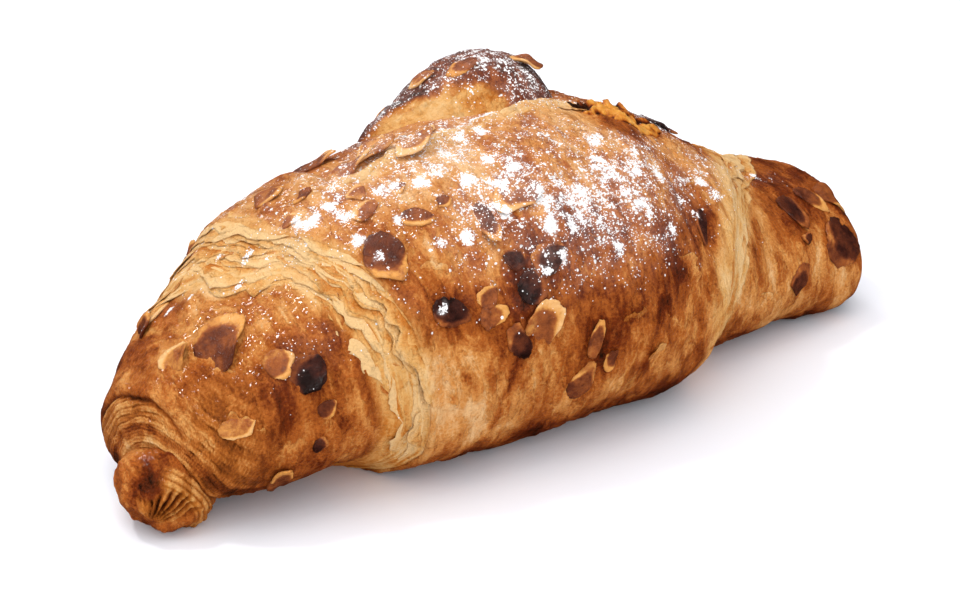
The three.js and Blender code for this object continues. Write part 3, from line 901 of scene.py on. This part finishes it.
class CROISSANT_OT_wrap(bpy.types.Operator):
    """Lays the last wrap round the middle, with its edges, its seam on top and the split in its crust"""

    bl_idname = "croissant.wrap"
    bl_label = "Wrap"

    around = 300
    body_rows = 300
    nose_rows = 9
    # The hem that runs back under the wrap from its edge: how far in its rows lie, and how deep.
    hem, hem_depth = np.array((4, 2)), 3
    wave_seeds = (201, 211)

    def execute(self, context):
        settings = context.scene.croissant
        angle = np.radians(np.linspace(-90, 90, self.nose_rows))
        nose_shift, nose_tuck = -WRAP_NOSE * np.cos(angle), WRAP_NOSE * (np.sin(angle) - 1)
        body, hem_tuck = np.zeros(self.body_rows), np.full(len(self.hem), -self.hem_depth)
        side = np.zeros(len(self.hem) + self.nose_rows)
        share = np.concatenate((side, np.linspace(0, 1, self.body_rows + 2)[1:-1], side + 1))
        shift = np.concatenate((self.hem, nose_shift, body, -nose_shift[::-1], -self.hem[::-1]))
        tuck = np.concatenate((hem_tuck, nose_tuck, body, nose_tuck[::-1], hem_tuck))
        piece, row, turn = added_ball("last_wrap", len(share), self.around)
        edges = []
        for edge, seed in zip(EDGES, self.wave_seeds):
            round_edge = roll_point(np.full(len(turn), float(edge["station"])), turn, 0, np.ones(len(turn)))
            wave = 1.1 * layered(round_edge, 14, seed) + 0.3 * grain(round_edge, 3, seed + 5)
            edges.append(edge["station"] + edge["side"] * (edge["last"] + wave) * leaf_spread(turn))
        left, right = edges
        station = left + share[row] * (right - left) + shift[row]
        close = np.where((row == 0) | (row == len(share) - 1), 0, 1)
        along = station + close * hoop_shift(station, turn)
        degrees = degrees_of(turn)
        split = split_depth(along, degrees)
        base = roll_point(station, turn, WRAP_THICKNESS, close)
        relief = WRAP_THICKNESS + tuck[row] + crag(along, turn) + crust_relief(base)
        relief -= seam_drop(along, degrees + 2.5 * layered(base, 9, seed=221)) + split
        points = roll_point(station, turn, relief, close)
        uneven = 3 * layered(base, 9, seed=225)
        leaf = 0.9 * (1 - ramp(station - left + uneven, -3, 3)) + 0.9 * ramp(station - right + uneven, -7, 0)
        rim = bell(degrees - SEAM["turn"] + 1 + uneven, 5)
        rim *= between(along, SEAM["from"] - 6, SEAM["from"] + 4, SEAM["to"] - 8, SEAM["to"])
        leaf = np.maximum(leaf, 0.7 * rim)
        bake = browning(points, along, degrees, settings.browning) - 0.12 * leaf
        # Darker in the split: painted shade in its groove.
        bake += 0.1 * split / SPLIT["depth"]
        hand_over_dough(context, piece, points, bake=bake, leaf=leaf,
                        sugar=dusting(points, along, degrees, settings.sugar))
        return {"FINISHED"}


class CROISSANT_OT_tongue(bpy.types.Operator):
    """Puffs up the end of the inner dough behind the seam"""

    bl_idname = "croissant.tongue"
    bl_label = "Tongue"

    fineness = 200
    # The torn face: its direction, and how near to it the dough is bare, from left to right.
    facing = (-0.5, -0.72, 0.48)
    bare_from = ((-20, 0.5), (0, 0.78), (6, 0.9), (13, 1.2))

    def execute(self, context):
        settings = context.scene.croissant
        piece, ball, base = added_oval("tongue", self.fineness, TONGUE)
        base[:, 0] += TONGUE["lean"] * (1 - ball[:, 0] ** 2)
        threshold = np.interp(base[:, 0], *np.transpose(self.bare_from))
        torn = ramp(ball @ np.array(self.facing) + 0.12 * layered(base, 6, seed=301) - threshold, -0.07, 0.08)
        stripes = layered(base, (24, 1.6, 1.6), seed=311)
        relief = 0.5 * layered(base, 9, seed=321) + 0.5 * stripes * torn - 0.8 * torn
        blisters = 0.3 * np.maximum(grain(base, 2.5, seed=329), 0)
        relief += (1 - torn) * (0.2 * plates(base, 5, seed=325) + blisters)
        relief -= 1.6 * bell(base[:, 0] + 8, 8) * ramp(ball[:, 2], 0, 0.6)
        points = base + relief[:, None] * ball
        crust = settings.browning + 0.2 + 0.16 * layered(base, 10, seed=331) + 0.15 * ramp(base[:, 0], 6, 20)
        dough = settings.browning - 0.28 - 0.22 * stripes + 0.12 * layered(base, 9, seed=341)
        dough += 0.3 * ramp(base[:, 0] + 0.4 * base[:, 2], 18, 38)
        sugar = settings.sugar * (1 - torn) * ramp(ball[:, 2], 0.2, 0.6)
        sugar *= 0.5 + 0.6 * layered(base, 5, seed=351)
        bake = crust + (dough - crust) * torn
        hand_over_dough(context, piece, points, bake=bake, leaf=0.8 * torn, sugar=sugar)
        return {"FINISHED"}


class CROISSANT_OT_knob(bpy.types.Operator):
    """Curls the dough's end into the knob at the left"""

    bl_idname = "croissant.knob"
    bl_label = "Knob"

    fineness = 160

    def execute(self, context):
        settings = context.scene.croissant
        piece, ball, base = added_oval("curled_end", self.fineness, KNOB)
        spot, root, up = (unit(np.array(KNOB[key])) for key in ("spot", "root", "up"))
        up = up - (up @ root) * root
        aside = np.cross(up, root)
        to_spot, to_root = (np.arccos(np.clip(ball @ way, -1, 1)) for way in (spot, root))
        spread = np.degrees(np.arctan2(ball @ aside, ball @ up))
        fan = between(spread, -15, 0, 95, 115) * between(to_root, 0.12, 0.3, 1, 1.25)
        fan *= ramp(to_spot, 0.4, 0.55)
        pleat = spread / KNOB["pleat"] + 1.1 * to_root + 0.6 * layered(base, 6, seed=401)
        gap_with_painted_shade = bell(pleat % 1 - 0.5, 0.26) * fan * ramp(layered(base, 4, seed=405), -0.6, 0.1)
        outer = between(to_root, 0.95, 1.1, 1.35, 1.6) * ramp(spread, 20, 40)
        lumps = 1.5 * layered(base, 7, seed=411) + 0.7 * layered(base, 2.5, seed=415)
        burnt = bell(to_spot + 0.12 * layered(base, 4, seed=417), 0.38)
        layer = bell(to_root * 7 % 1 - 0.5, 0.16) * outer
        relief = lumps - 1.4 * gap_with_painted_shade + 0.9 * outer - 0.9 * burnt - 0.5 * layer
        points = base + relief[:, None] * ball
        # Darker in the gaps between pleats and in the grooves between the outer layers: painted shade.
        bake = settings.browning + 0.55 * burnt + 0.42 * gap_with_painted_shade - 0.12 * outer + 0.24 * layer
        bake += 0.26 * layered(base, 4, seed=421) - 0.15 * ramp(-ball @ aside / np.linalg.norm(up), 0.6, 0.9)
        leaf = np.clip(0.6 * fan * (1 - gap_with_painted_shade) + 0.5 * outer, 0, 1)
        hand_over_dough(context, piece, points, bake=bake, leaf=leaf, sugar=0)
        return {"FINISHED"}


class CROISSANT_OT_flakes(bpy.types.Operator):
    """Lifts leaves of dough at the wrap's edges, flakes of crust, and the burst leaf on the crest"""

    bl_idname = "croissant.flakes"
    bl_label = "Flakes"

    thickness, burst_thickness, root_depth = 0.16, 0.4, 0.15
    # Leaves at each edge of the wrap: the edge, how many, turns from and to.
    leaves = [(LEFT_EDGE, 70, (-30, 175)), (RIGHT_EDGE, 50, (-25, 170))]
    # The least and the most of a leaf's width, lean, curl and browning, and how pale it is.
    leaf_sizes, leaf_pale = ((1.4, 4, -8, -0.1), (4.5, 12, 6, 0.5)), 0.9
    # Flakes all over the crust: how many, where, how long, the least and the most of width, lean and curl.
    skin_flakes = 90
    skin_along, skin_turns, skin_lengths = (-76, 74), (-12, 170), (4, 9)
    skin_sizes = ((1, 3, -4), (2.8, 9, 14))
    # Flakes along the seam: how many, length, place before the seam, sizes as above, browning, how pale.
    seam_flakes, seam_length, seam_before = 16, 8, 4
    seam_sizes, seam_bake, seam_pale = ((1.6, 10, -20), (3, 35, 20)), 0.2, 0.8
    # Torn flaps of crust that show well: root from and to (along, turn), width, lean, how pale.
    tears = [
        ((-78, 20), (-71, 12), 4.5, 7, 0.2),
        ((2, 8), (8, 10), 3.6, 8, 0.3),
        ((18, 25), (22, 12), 4, 9, 0),
        ((9, -6), (14, -2), 2.6, 16, 0.3),
        ((34, -3), (31, -15), 3.6, -4, 0.8),
        ((-36, 44), (-31, 40), 3, 10, 0.3),
        ((-76, 52), (-72, 44), 3, 8, 0.2),
        ((44, 30), (42, 16), 2.6, 8, 0.6),
    ]
    tear_curl, tear_paler = 5, 0.05
    # Leaves that the oven lifted beside the split: along, turns, lift.
    bursts = [((18, 27), (77, 90), 2.4), ((23, 38), (66, 89), 3)]

    def execute(self, context):
        base = context.scene.croissant.browning
        draw = np.random.default_rng(451)
        trees = crust_trees(context, DOUGH)
        parts = []
        for edge, count, turns in self.leaves:
            for _ in range(count):
                along, degrees = self.leaf_path(draw, edge, turns)
                sizes = draw.uniform(*self.leaf_sizes)
                parts.append(self.flake(trees, along, degrees, *sizes, self.leaf_pale))
        for _ in range(self.skin_flakes):
            heading, reach = draw.uniform(0, 2 * np.pi), draw.uniform(*self.skin_lengths)
            run = reach * np.array((0, 1))
            along = draw.uniform(*self.skin_along) + run * np.cos(heading)
            degrees = draw.uniform(*self.skin_turns) + run * np.sin(heading) / DEGREE_LENGTH
            sizes = draw.uniform(*self.skin_sizes)
            if not self.on_almond(along.mean(), degrees.mean(), reach):
                parts.append(self.flake(trees, along, degrees, *sizes, base, 0))
        for start, end, width, lean, pale in self.tears:
            along, degrees = np.transpose((start, end))
            parts.append(self.flake(trees, along, degrees, width, lean, self.tear_curl,
                                    base - self.tear_paler, pale))
        for _ in range(self.seam_flakes):
            along = draw.uniform(SEAM["from"], SEAM["to"] - 12) + self.seam_length * np.array((0, 0.5, 1))
            degrees = SEAM["turn"] - self.seam_before + draw.uniform(-2, 2, 3)
            sizes = draw.uniform(*self.seam_sizes)
            parts.append(self.flake(trees, along, degrees, *sizes, self.seam_bake, self.seam_pale))
        hand_over(context, joined_mesh("crust_flakes", parts), CRUST)
        leaves = [self.burst_leaf(trees, *burst) for burst in self.bursts]
        hand_over(context, joined_mesh("burst_leaf", leaves), AMBER)
        return {"FINISHED"}

    def on_almond(self, along, degrees, reach, margin=2):
        """Whether a flake of that reach would touch an almond slice."""
        return any(np.hypot(along - place, (degrees - turn) * DEGREE_LENGTH) <= (length + reach) / 2 + margin
                   for place, turn, length, *_ in ALMONDS)

    def leaf_path(self, draw, edge, turns, knots=9):
        """A path round the roll beside an edge of the wrap, as a leaf's root runs."""
        degrees = draw.uniform(*turns) + draw.uniform(16, 70) * np.linspace(0, 1, knots)
        inward = draw.uniform(edge["first"], edge["last"] + 1.5) + np.cumsum(draw.normal(0, 0.35, knots))
        turn = np.radians(degrees)
        station = edge["station"] + edge["side"] * inward * leaf_spread(turn)
        return (station + hoop_shift(station, turn))[::edge["side"]], degrees[::edge["side"]]

    def flake(self, trees, along, degrees, width, lean, curl, bake, leaf, steps=28, levels=7):
        """A thin leaf rooted on a path over the crust: it leans up from the crust to the path's left."""
        t, knots = np.linspace(0, 1, steps), np.linspace(0, 1, len(along))
        along, degrees = np.interp(t, knots, along), np.interp(t, knots, degrees)
        feet = crust_points(trees, along, degrees)
        feet = np.column_stack([evened(feet[:, k], 2) for k in range(3)])
        out = unit(feet - axis_point(along))
        side = unit(np.cross(out, np.gradient(feet, axis=0)))
        tips = feet + width * side
        beds = crust_points(trees, tips[:, 0], turn_of(tips)) - feet
        slope = np.arctan2(np.sum(beds * out, axis=1), np.sum(beds * side, axis=1))
        slope = evened(np.clip(slope, -1, 1), 4)
        soft = leaf > 0.5
        ragged = 0.8 + (0.6 if soft else 1) * layered(feet, 3.5 if soft else 2.2, seed=461)
        reach = width * np.sqrt(np.sin(np.pi * np.clip(t, 0.02, 0.98))) * ragged
        angle = slope[:, None] + np.radians(lean + curl * np.linspace(0, 1, levels))
        aside, up = (np.cumsum(part, axis=1)[..., None] / levels for part in (np.cos(angle), np.sin(angle)))
        lift = aside * side[:, None] + up * out[:, None]
        grid = (feet - self.root_depth * out)[:, None] + reach[:, None, None] * lift
        crumple = (0.08 if soft else 0.25) * layered(grid.reshape(-1, 3), 3, seed=471)
        points, faces = sheet(grid + crumple.reshape(steps, levels, 1) * out[:, None], self.thickness)
        tip = np.tile(np.tile(np.linspace(0, 1, levels), steps), 2)
        turns = turn_of(points)
        if soft:
            # Paler toward the free edge; darker toward the root, which is painted shade in the gap under the
            # leaf.
            shade = bake + 0.24 * layered(points, 3, seed=481) + 0.3 * (0.4 - tip)
        else:
            shade = browning(points, points[:, 0], turns, bake) - 0.12 * tip
        sugar = 0.8 * dusting(points, points[:, 0], turns, 1)
        return points, faces, {"bake": shade, "leaf": np.maximum(leaf, 0.5 * tip ** 4), "sugar": sugar}

    def burst_leaf(self, trees, alongs, turns, rise, steps=60, levels=44):
        """A leaf that the oven lifted: crumpled, and torn along its upper edge."""
        grid = np.meshgrid(np.linspace(0, 1, steps), np.linspace(0, 1, levels), indexing="ij")
        u, v = (share.ravel() for share in grid)
        torn = 0.25 * layered(np.column_stack((u * 7, np.zeros((u.size, 2)))), 1, seed=499)
        along = np.interp(u, (0, 1), alongs) + 3 * (1 - v) * (0.5 - u)
        degrees = turns[0] + (turns[1] - turns[0]) * v * (0.9 + torn)
        feet = crust_points(trees, along, degrees)
        out = unit(feet - axis_point(along))
        inside = np.sin(np.pi * np.clip(u, 0.01, 0.99)) ** 0.5 * ramp(v, 0, 0.75)
        folds = 1 - 1.2 * np.abs(layered(feet, 6, seed=491, layers=2))
        folds -= 1.1 * np.abs(layered(feet, 3, seed=495))
        lift = inside * rise * (0.1 + 0.85 * folds + 0.3 * torn) - 0.6 * (1 - inside)
        points, faces = sheet((feet + lift[:, None] * out).reshape(steps, levels, 3), self.burst_thickness)
        edge = np.clip(2.2 * np.abs(u - 0.5) - 0.6, 0, 1) + 0.7 * ramp(v, 0.88, 1)
        # Darker at the torn edges, and darker in the creases between the folds, which is painted shade.
        bake = 0.4 * edge - 0.08 + 1.8 * np.clip(0.56 - folds, 0, 0.42)
        return points, faces, {"bake": np.tile(bake, 2)}


class CROISSANT_OT_almonds(bpy.types.Operator):
    """Strews toasted almond slices over the crust"""

    bl_idname = "croissant.almonds"
    bl_label = "Almonds"

    rings = 9
    segments = 52
    # How uneven the outline is: in waves, and from point to point.
    waviness, jaggedness = 0.14, 0.025
    # Slices that are larger than this lost one bit at most. A bit breaks off at that share of the half width.
    whole_area = 100
    break_from = (0.62, 0.9)
    # How far a slice is bowed along and across, and how far its rim curls.
    bow, curl = (-0.03, 0.05), (0.2, 0.8)
    # Slices that are tilted less follow the crust, those that are tilted more lie freely.
    follow_tilts = (4, 12)
    rim_thickness = 0.55

    def execute(self, context):
        draw = np.random.default_rng(501)
        trees = crust_trees(context, DOUGH)
        slices = list(ALMONDS)
        for i in range(BACK_ALMONDS["count"]):
            along = BACK_ALMONDS["from"] + BACK_ALMONDS["step"] * i
            turn = BACK_ALMONDS["lowest"] + BACK_ALMONDS["stride"] * i % BACK_ALMONDS["spread"]
            slices.append((along, turn, 7 + 5 * i % 6, 5 + 3 * i % 4, 67 * i % 180, 5 + 4 * i % 9,
                           0.3 + 0.1 * (i * 3 % 6)))
        piece = joined_mesh("almond_slices", [self.almond(trees, draw, *one) for one in slices])
        hand_over(context, piece, ALMOND)
        return {"FINISHED"}

    def almond(self, trees, draw, along, degrees, length, width, spin, tilt, toast):
        """One slice: a thin broken oval, bowed, that follows the crust where it lies flat."""
        angle = 2 * np.pi * np.arange(self.segments) / self.segments
        wave = sum(draw.uniform(-1, 1) / k * np.cos(k * angle + draw.uniform(0, 6.3))
                   for k in (2, 3, 5, 7, 11))
        egg = width / 2 * np.sin(angle) * (1 - 0.25 * np.cos(angle))
        edge = np.column_stack((length / 2 * np.cos(angle), egg))
        edge *= (1 + self.waviness * wave + self.jaggedness * draw.normal(size=self.segments))[:, None]
        for _ in range(draw.integers(1, 4) if length * width < self.whole_area else 1):
            way = draw.uniform(0, 2 * np.pi)
            cut = np.array((np.cos(way), np.sin(way)))
            past = edge @ cut - draw.uniform(*self.break_from) * (edge @ cut).max() + 0.25 * wave
            edge -= np.maximum(past, 0)[:, None] * cut
        share = np.linspace(0, 1, self.rings + 1)[1:] ** 0.8
        flat = np.concatenate(([(0, 0)], *(edge * s for s in share)))
        out = np.concatenate(([0], np.repeat(share, self.segments)))
        height = draw.uniform(*self.bow) / length * 7.2 * flat[:, 0] ** 2
        height += draw.uniform(*self.bow) * flat[:, 1] ** 2
        twist = np.sin(np.arctan2(flat[:, 1], flat[:, 0]) * 2 + spin)
        height += draw.uniform(*self.curl) * ramp(out, 0.4, 1) * twist
        height += 0.25 * grain(np.column_stack((flat, 9 * np.full(len(flat), along))), 3, seed=515)
        point, ahead, round_roll, normal = crust_frame(trees, along, degrees, max(2, 0.3 * length))
        u = np.cos(np.radians(spin)) * ahead + np.sin(np.radians(spin)) * round_roll
        v = np.cross(normal, u)
        follow = 1 - ramp(tilt, *self.follow_tilts)
        height = height * (1 - 0.6 * follow) + follow * self.bed(trees, flat, point, u, v, normal)
        tilt = np.radians(tilt * (1 - follow))
        half = ALMOND_THICKNESS / 2 * np.where(out > 0.99, self.rim_thickness, 1)
        count = len(flat)
        local = np.concatenate([np.column_stack((flat, height + side * half)) for side in (1, -1)])
        faces = []
        for k in range(self.segments):
            after = (k + 1) % self.segments
            faces.append((0, 1 + k, 1 + after))
            for ring in range(self.rings - 1):
                a, b = 1 + ring * self.segments, 1 + (ring + 1) * self.segments
                faces.append((a + k, b + k, b + after, a + after))
        faces += [tuple(v + count for v in reversed(face)) for face in faces]
        last = 1 + (self.rings - 1) * self.segments
        for k in range(self.segments):
            after = (k + 1) % self.segments
            faces.append((last + k, last + k + count, last + after + count, last + after))
        u, lifted = np.cos(tilt) * u + np.sin(tilt) * normal, np.cos(tilt) * normal - np.sin(tilt) * u
        points = point + normal * (0.15 + 0.12 * length * np.sin(tilt)) + local @ np.array((u, v, lifted))
        side = draw.uniform(-1, 1, 2)
        across = flat @ unit(side) / (0.5 * length)
        rim = ramp(out ** 3 * (0.5 + 0.8 * across) + 0.5 * across, 0.2, 0.6)
        patchy = grain(np.column_stack((flat + point[:2], height)), 3.5, seed=511)
        sugar = 0.7 * dusting(points, points[:, 0], turn_of(points), 1)
        toasted = np.tile(toast + 0.14 * patchy, 2)
        return points, faces, {"toast": toasted, "rim": np.tile(rim, 2), "sugar": sugar}

    def bed(self, trees, flat, point, u, v, normal, above=12):
        """How high the crust under a slice lies over its middle, on a smooth curve through it."""
        heights = []
        for spot in point + flat @ np.array((u, v)) + above * normal:
            hits = [tree.ray_cast(Vector(spot * MM), Vector(-normal)) for tree in trees]
            near = min((hit[3] / MM for hit in hits if hit[0] is not None), default=above)
            heights.append(np.clip(above - near, -2.5, 1.5))
        curve = np.column_stack((np.ones(len(flat)), flat, flat ** 2, flat[:, 0] * flat[:, 1]))
        return curve @ np.linalg.lstsq(curve, np.array(heights), rcond=None)[0]


class CROISSANT_OT_sugar(bpy.types.Operator):
    """Dusts lumps of icing sugar over the top"""

    bl_idname = "croissant.sugar"
    bl_label = "Sugar"

    # Lumps in a clump: the least and the most of their size, and how far they spread.
    clump_sizes, clump_spread = (0.1, 0.36), 0.6
    # Lumps outside the clumps: how many at most, how many places are tried for each, and their sizes.
    scattered, tries_each = 2600, 8
    dust_size, dust_range = 0.08, 0.2
    # The part of the crust that is dusted: from and to (along, turn).
    dusted_from, dusted_to = (-80, 20), (68, 150)
    # Lumps smaller than this are plainer.
    fine_size = 0.22

    def execute(self, context):
        settings = context.scene.croissant
        draw = np.random.default_rng(601)
        trees = crust_trees(context, (*DOUGH, "crust_flakes", "burst_leaf", "almond_slices"))
        fine, coarse = self.lump(context, 1), self.lump(context, 2)
        places = []
        for along, degrees, width in CLUMPS:
            for _ in range(int(settings.sugar_lumps * width)):
                shift = draw.normal(0, self.clump_spread * width, 2)
                away = np.hypot(*shift) / width
                size = draw.uniform(*self.clump_sizes) * np.exp(-away / 2)
                spot = np.array([(along + shift[0], degrees * DEGREE_LENGTH + shift[1], 0)])
                if grain(spot, 1.6, seed=605)[0] > 0.9 * away - 0.8:
                    places.append((along + shift[0], degrees + shift[1] / DEGREE_LENGTH, size))
        tries = draw.uniform(self.dusted_from, self.dusted_to, (self.tries_each * self.scattered, 2))
        points = crust_points(trees, *tries.T)
        thick = dusting(points, tries[:, 0], tries[:, 1], settings.sugar)
        dusted = tries[draw.random(len(tries)) < 0.6 * thick ** 2][:self.scattered]
        places += [(*place, self.dust_size + self.dust_range * draw.random() ** 3) for place in dusted]
        parts = []
        for along, degrees, size in places:
            shape, faces = fine if size < self.fine_size else coarse
            point = crust_point(trees, along, degrees)
            lump = shape * (1 + 0.25 * grain(shape * 1.7 + point, 1, seed=611))[:, None]
            stretch = draw.uniform(0.7, 1.4, 3) * (1, 1, 0.7)
            parts.append((point + lump * stretch * size, faces, {}))
        hand_over(context, joined_mesh("icing_sugar", parts), SUGAR)
        return {"FINISHED"}

    def lump(self, context, fineness):
        """Points and faces of a round lump of sugar."""
        bpy.ops.object.select_all(action="DESELECT")
        bpy.ops.mesh.primitive_ico_sphere_add(subdivisions=fineness, radius=1)
        ball = context.active_object
        shape, faces = places_of(ball), [tuple(face.vertices) for face in ball.data.polygons]
        bpy.data.objects.remove(ball)
        return shape, faces


class CROISSANT_OT_stage(bpy.types.Operator):
    """Sets the pale floor, the soft lights and the camera"""

    bl_idname = "croissant.stage"
    bl_label = "Stage"

    # The stage is in metres.
    camera_place = (-0.2315, -0.3255, 0.2295)
    camera_target = (-0.00358, 0, 0.01824)
    sensor_width = 36
    floor_size = 8
    paper_colour, sky_colour = "f0f1f6", "fafbff"
    sky_strength = 0.7
    # The croissant's middle, which most lights aim at.
    middle = (0, 0, 0.03)
    # Name, place, aim, width and power of each soft light, and whether the glaze mirrors it.
    lights = [
        ("overhead", (-0.1, -0.15, 1.0), (0, 0, 0), 1.1, 5.8, False),
        ("glint", (-0.33, 0.33, 0.9), middle, 0.08, 2, True),
        ("left", (-0.85, 0.15, 0.55), middle, 0.5, 1.6, False),
        ("window", (0.12, 0.75, 0.5), middle, 0.22, 1.4, True),
        ("fill", (-0.15, -0.95, 0.6), middle, 1.0, 4.6, False),
    ]
    # Small lights that only the glaze mirrors.
    sparkles = [(-0.69, 0.3, 0.75), (-0.02, 0.34, 0.95), (-0.35, -0.12, 1.0)]
    sparkle_width, sparkle_power = 0.18, 3.6

    def execute(self, context):
        bpy.ops.object.select_all(action="DESELECT")
        bpy.ops.mesh.primitive_plane_add(size=self.floor_size)
        floor = context.active_object
        floor.name = "floor"
        paper, _ = new_material(PAPER)
        floor.data.materials.append(surfaced(paper, {
            "Base Color": linear(self.paper_colour), "Roughness": 0.7}))
        floor.visible_glossy = False
        for name, place, aim, width, power, mirrored in self.lights:
            lamp = self.light(context, name, place, aim, width, power)
            lamp.visible_glossy = mirrored
        for place in self.sparkles:
            lamp = self.light(context, "sparkle", place, self.middle, self.sparkle_width, self.sparkle_power)
            lamp.visible_diffuse = False
        world = bpy.data.worlds.new("studio")
        context.scene.world = world
        world.cycles_visibility.glossy = False
        world.use_nodes = True
        sky = world.node_tree.nodes["Background"]
        sky.inputs["Color"].default_value = linear(self.sky_colour)
        sky.inputs["Strength"].default_value = self.sky_strength
        bpy.ops.object.camera_add(location=self.camera_place)
        camera = context.active_object
        aim = Vector(self.camera_target) - Vector(self.camera_place)
        camera.rotation_euler = aim.to_track_quat("-Z", "Y").to_euler()
        camera.data.lens = context.scene.croissant.lens
        camera.data.sensor_width = self.sensor_width
        context.scene.camera = camera
        context.scene.view_settings.view_transform = "Standard"
        return {"FINISHED"}

    def light(self, context, name, place, aim, width, power):
        """A square light at a place, turned to its aim."""
        bpy.ops.object.light_add(type="AREA", location=place)
        lamp = context.active_object
        lamp.name = name
        lamp.data.size, lamp.data.energy = width, power
        lamp.rotation_euler = (Vector(aim) - Vector(place)).to_track_quat("-Z", "Y").to_euler()
        return lamp


OPERATORS = [
    CROISSANT_OT_roll, CROISSANT_OT_wrap, CROISSANT_OT_tongue, CROISSANT_OT_knob,
    CROISSANT_OT_flakes, CROISSANT_OT_almonds, CROISSANT_OT_sugar, CROISSANT_OT_stage]


class CROISSANT_PT_panel(bpy.types.Panel):
    """Lists the croissant's sizes and pieces"""

    bl_idname = "CROISSANT_PT_panel"
    bl_label = "Croissant"
    bl_space_type = "VIEW_3D"
    bl_region_type = "UI"
    bl_category = "Croissant"

    def draw(self, context):
        for key in CroissantSettings.__annotations__:
            self.layout.prop(context.scene.croissant, key)
        for operator in OPERATORS:
            self.layout.operator(operator.bl_idname)


CLASSES = [CroissantSettings, *OPERATORS, CROISSANT_PT_panel]


def register():
    """Registers the classes and the settings."""
    for cls in CLASSES:
        bpy.utils.register_class(cls)
    bpy.types.Scene.croissant = bpy.props.PointerProperty(type=CroissantSettings)


def unregister():
    """Takes the settings and the classes out again."""
    del bpy.types.Scene.croissant
    for cls in reversed(CLASSES):
        bpy.utils.unregister_class(cls)


def main():
    """Makes the croissant piece by piece."""
    register()
    bpy.ops.croissant.roll()
    bpy.ops.croissant.wrap()
    bpy.ops.croissant.tongue()
    bpy.ops.croissant.knob()
    bpy.ops.croissant.flakes()
    bpy.ops.croissant.almonds()
    bpy.ops.croissant.sugar()
    bpy.ops.croissant.stage()


if __name__ == "__main__":
    main()
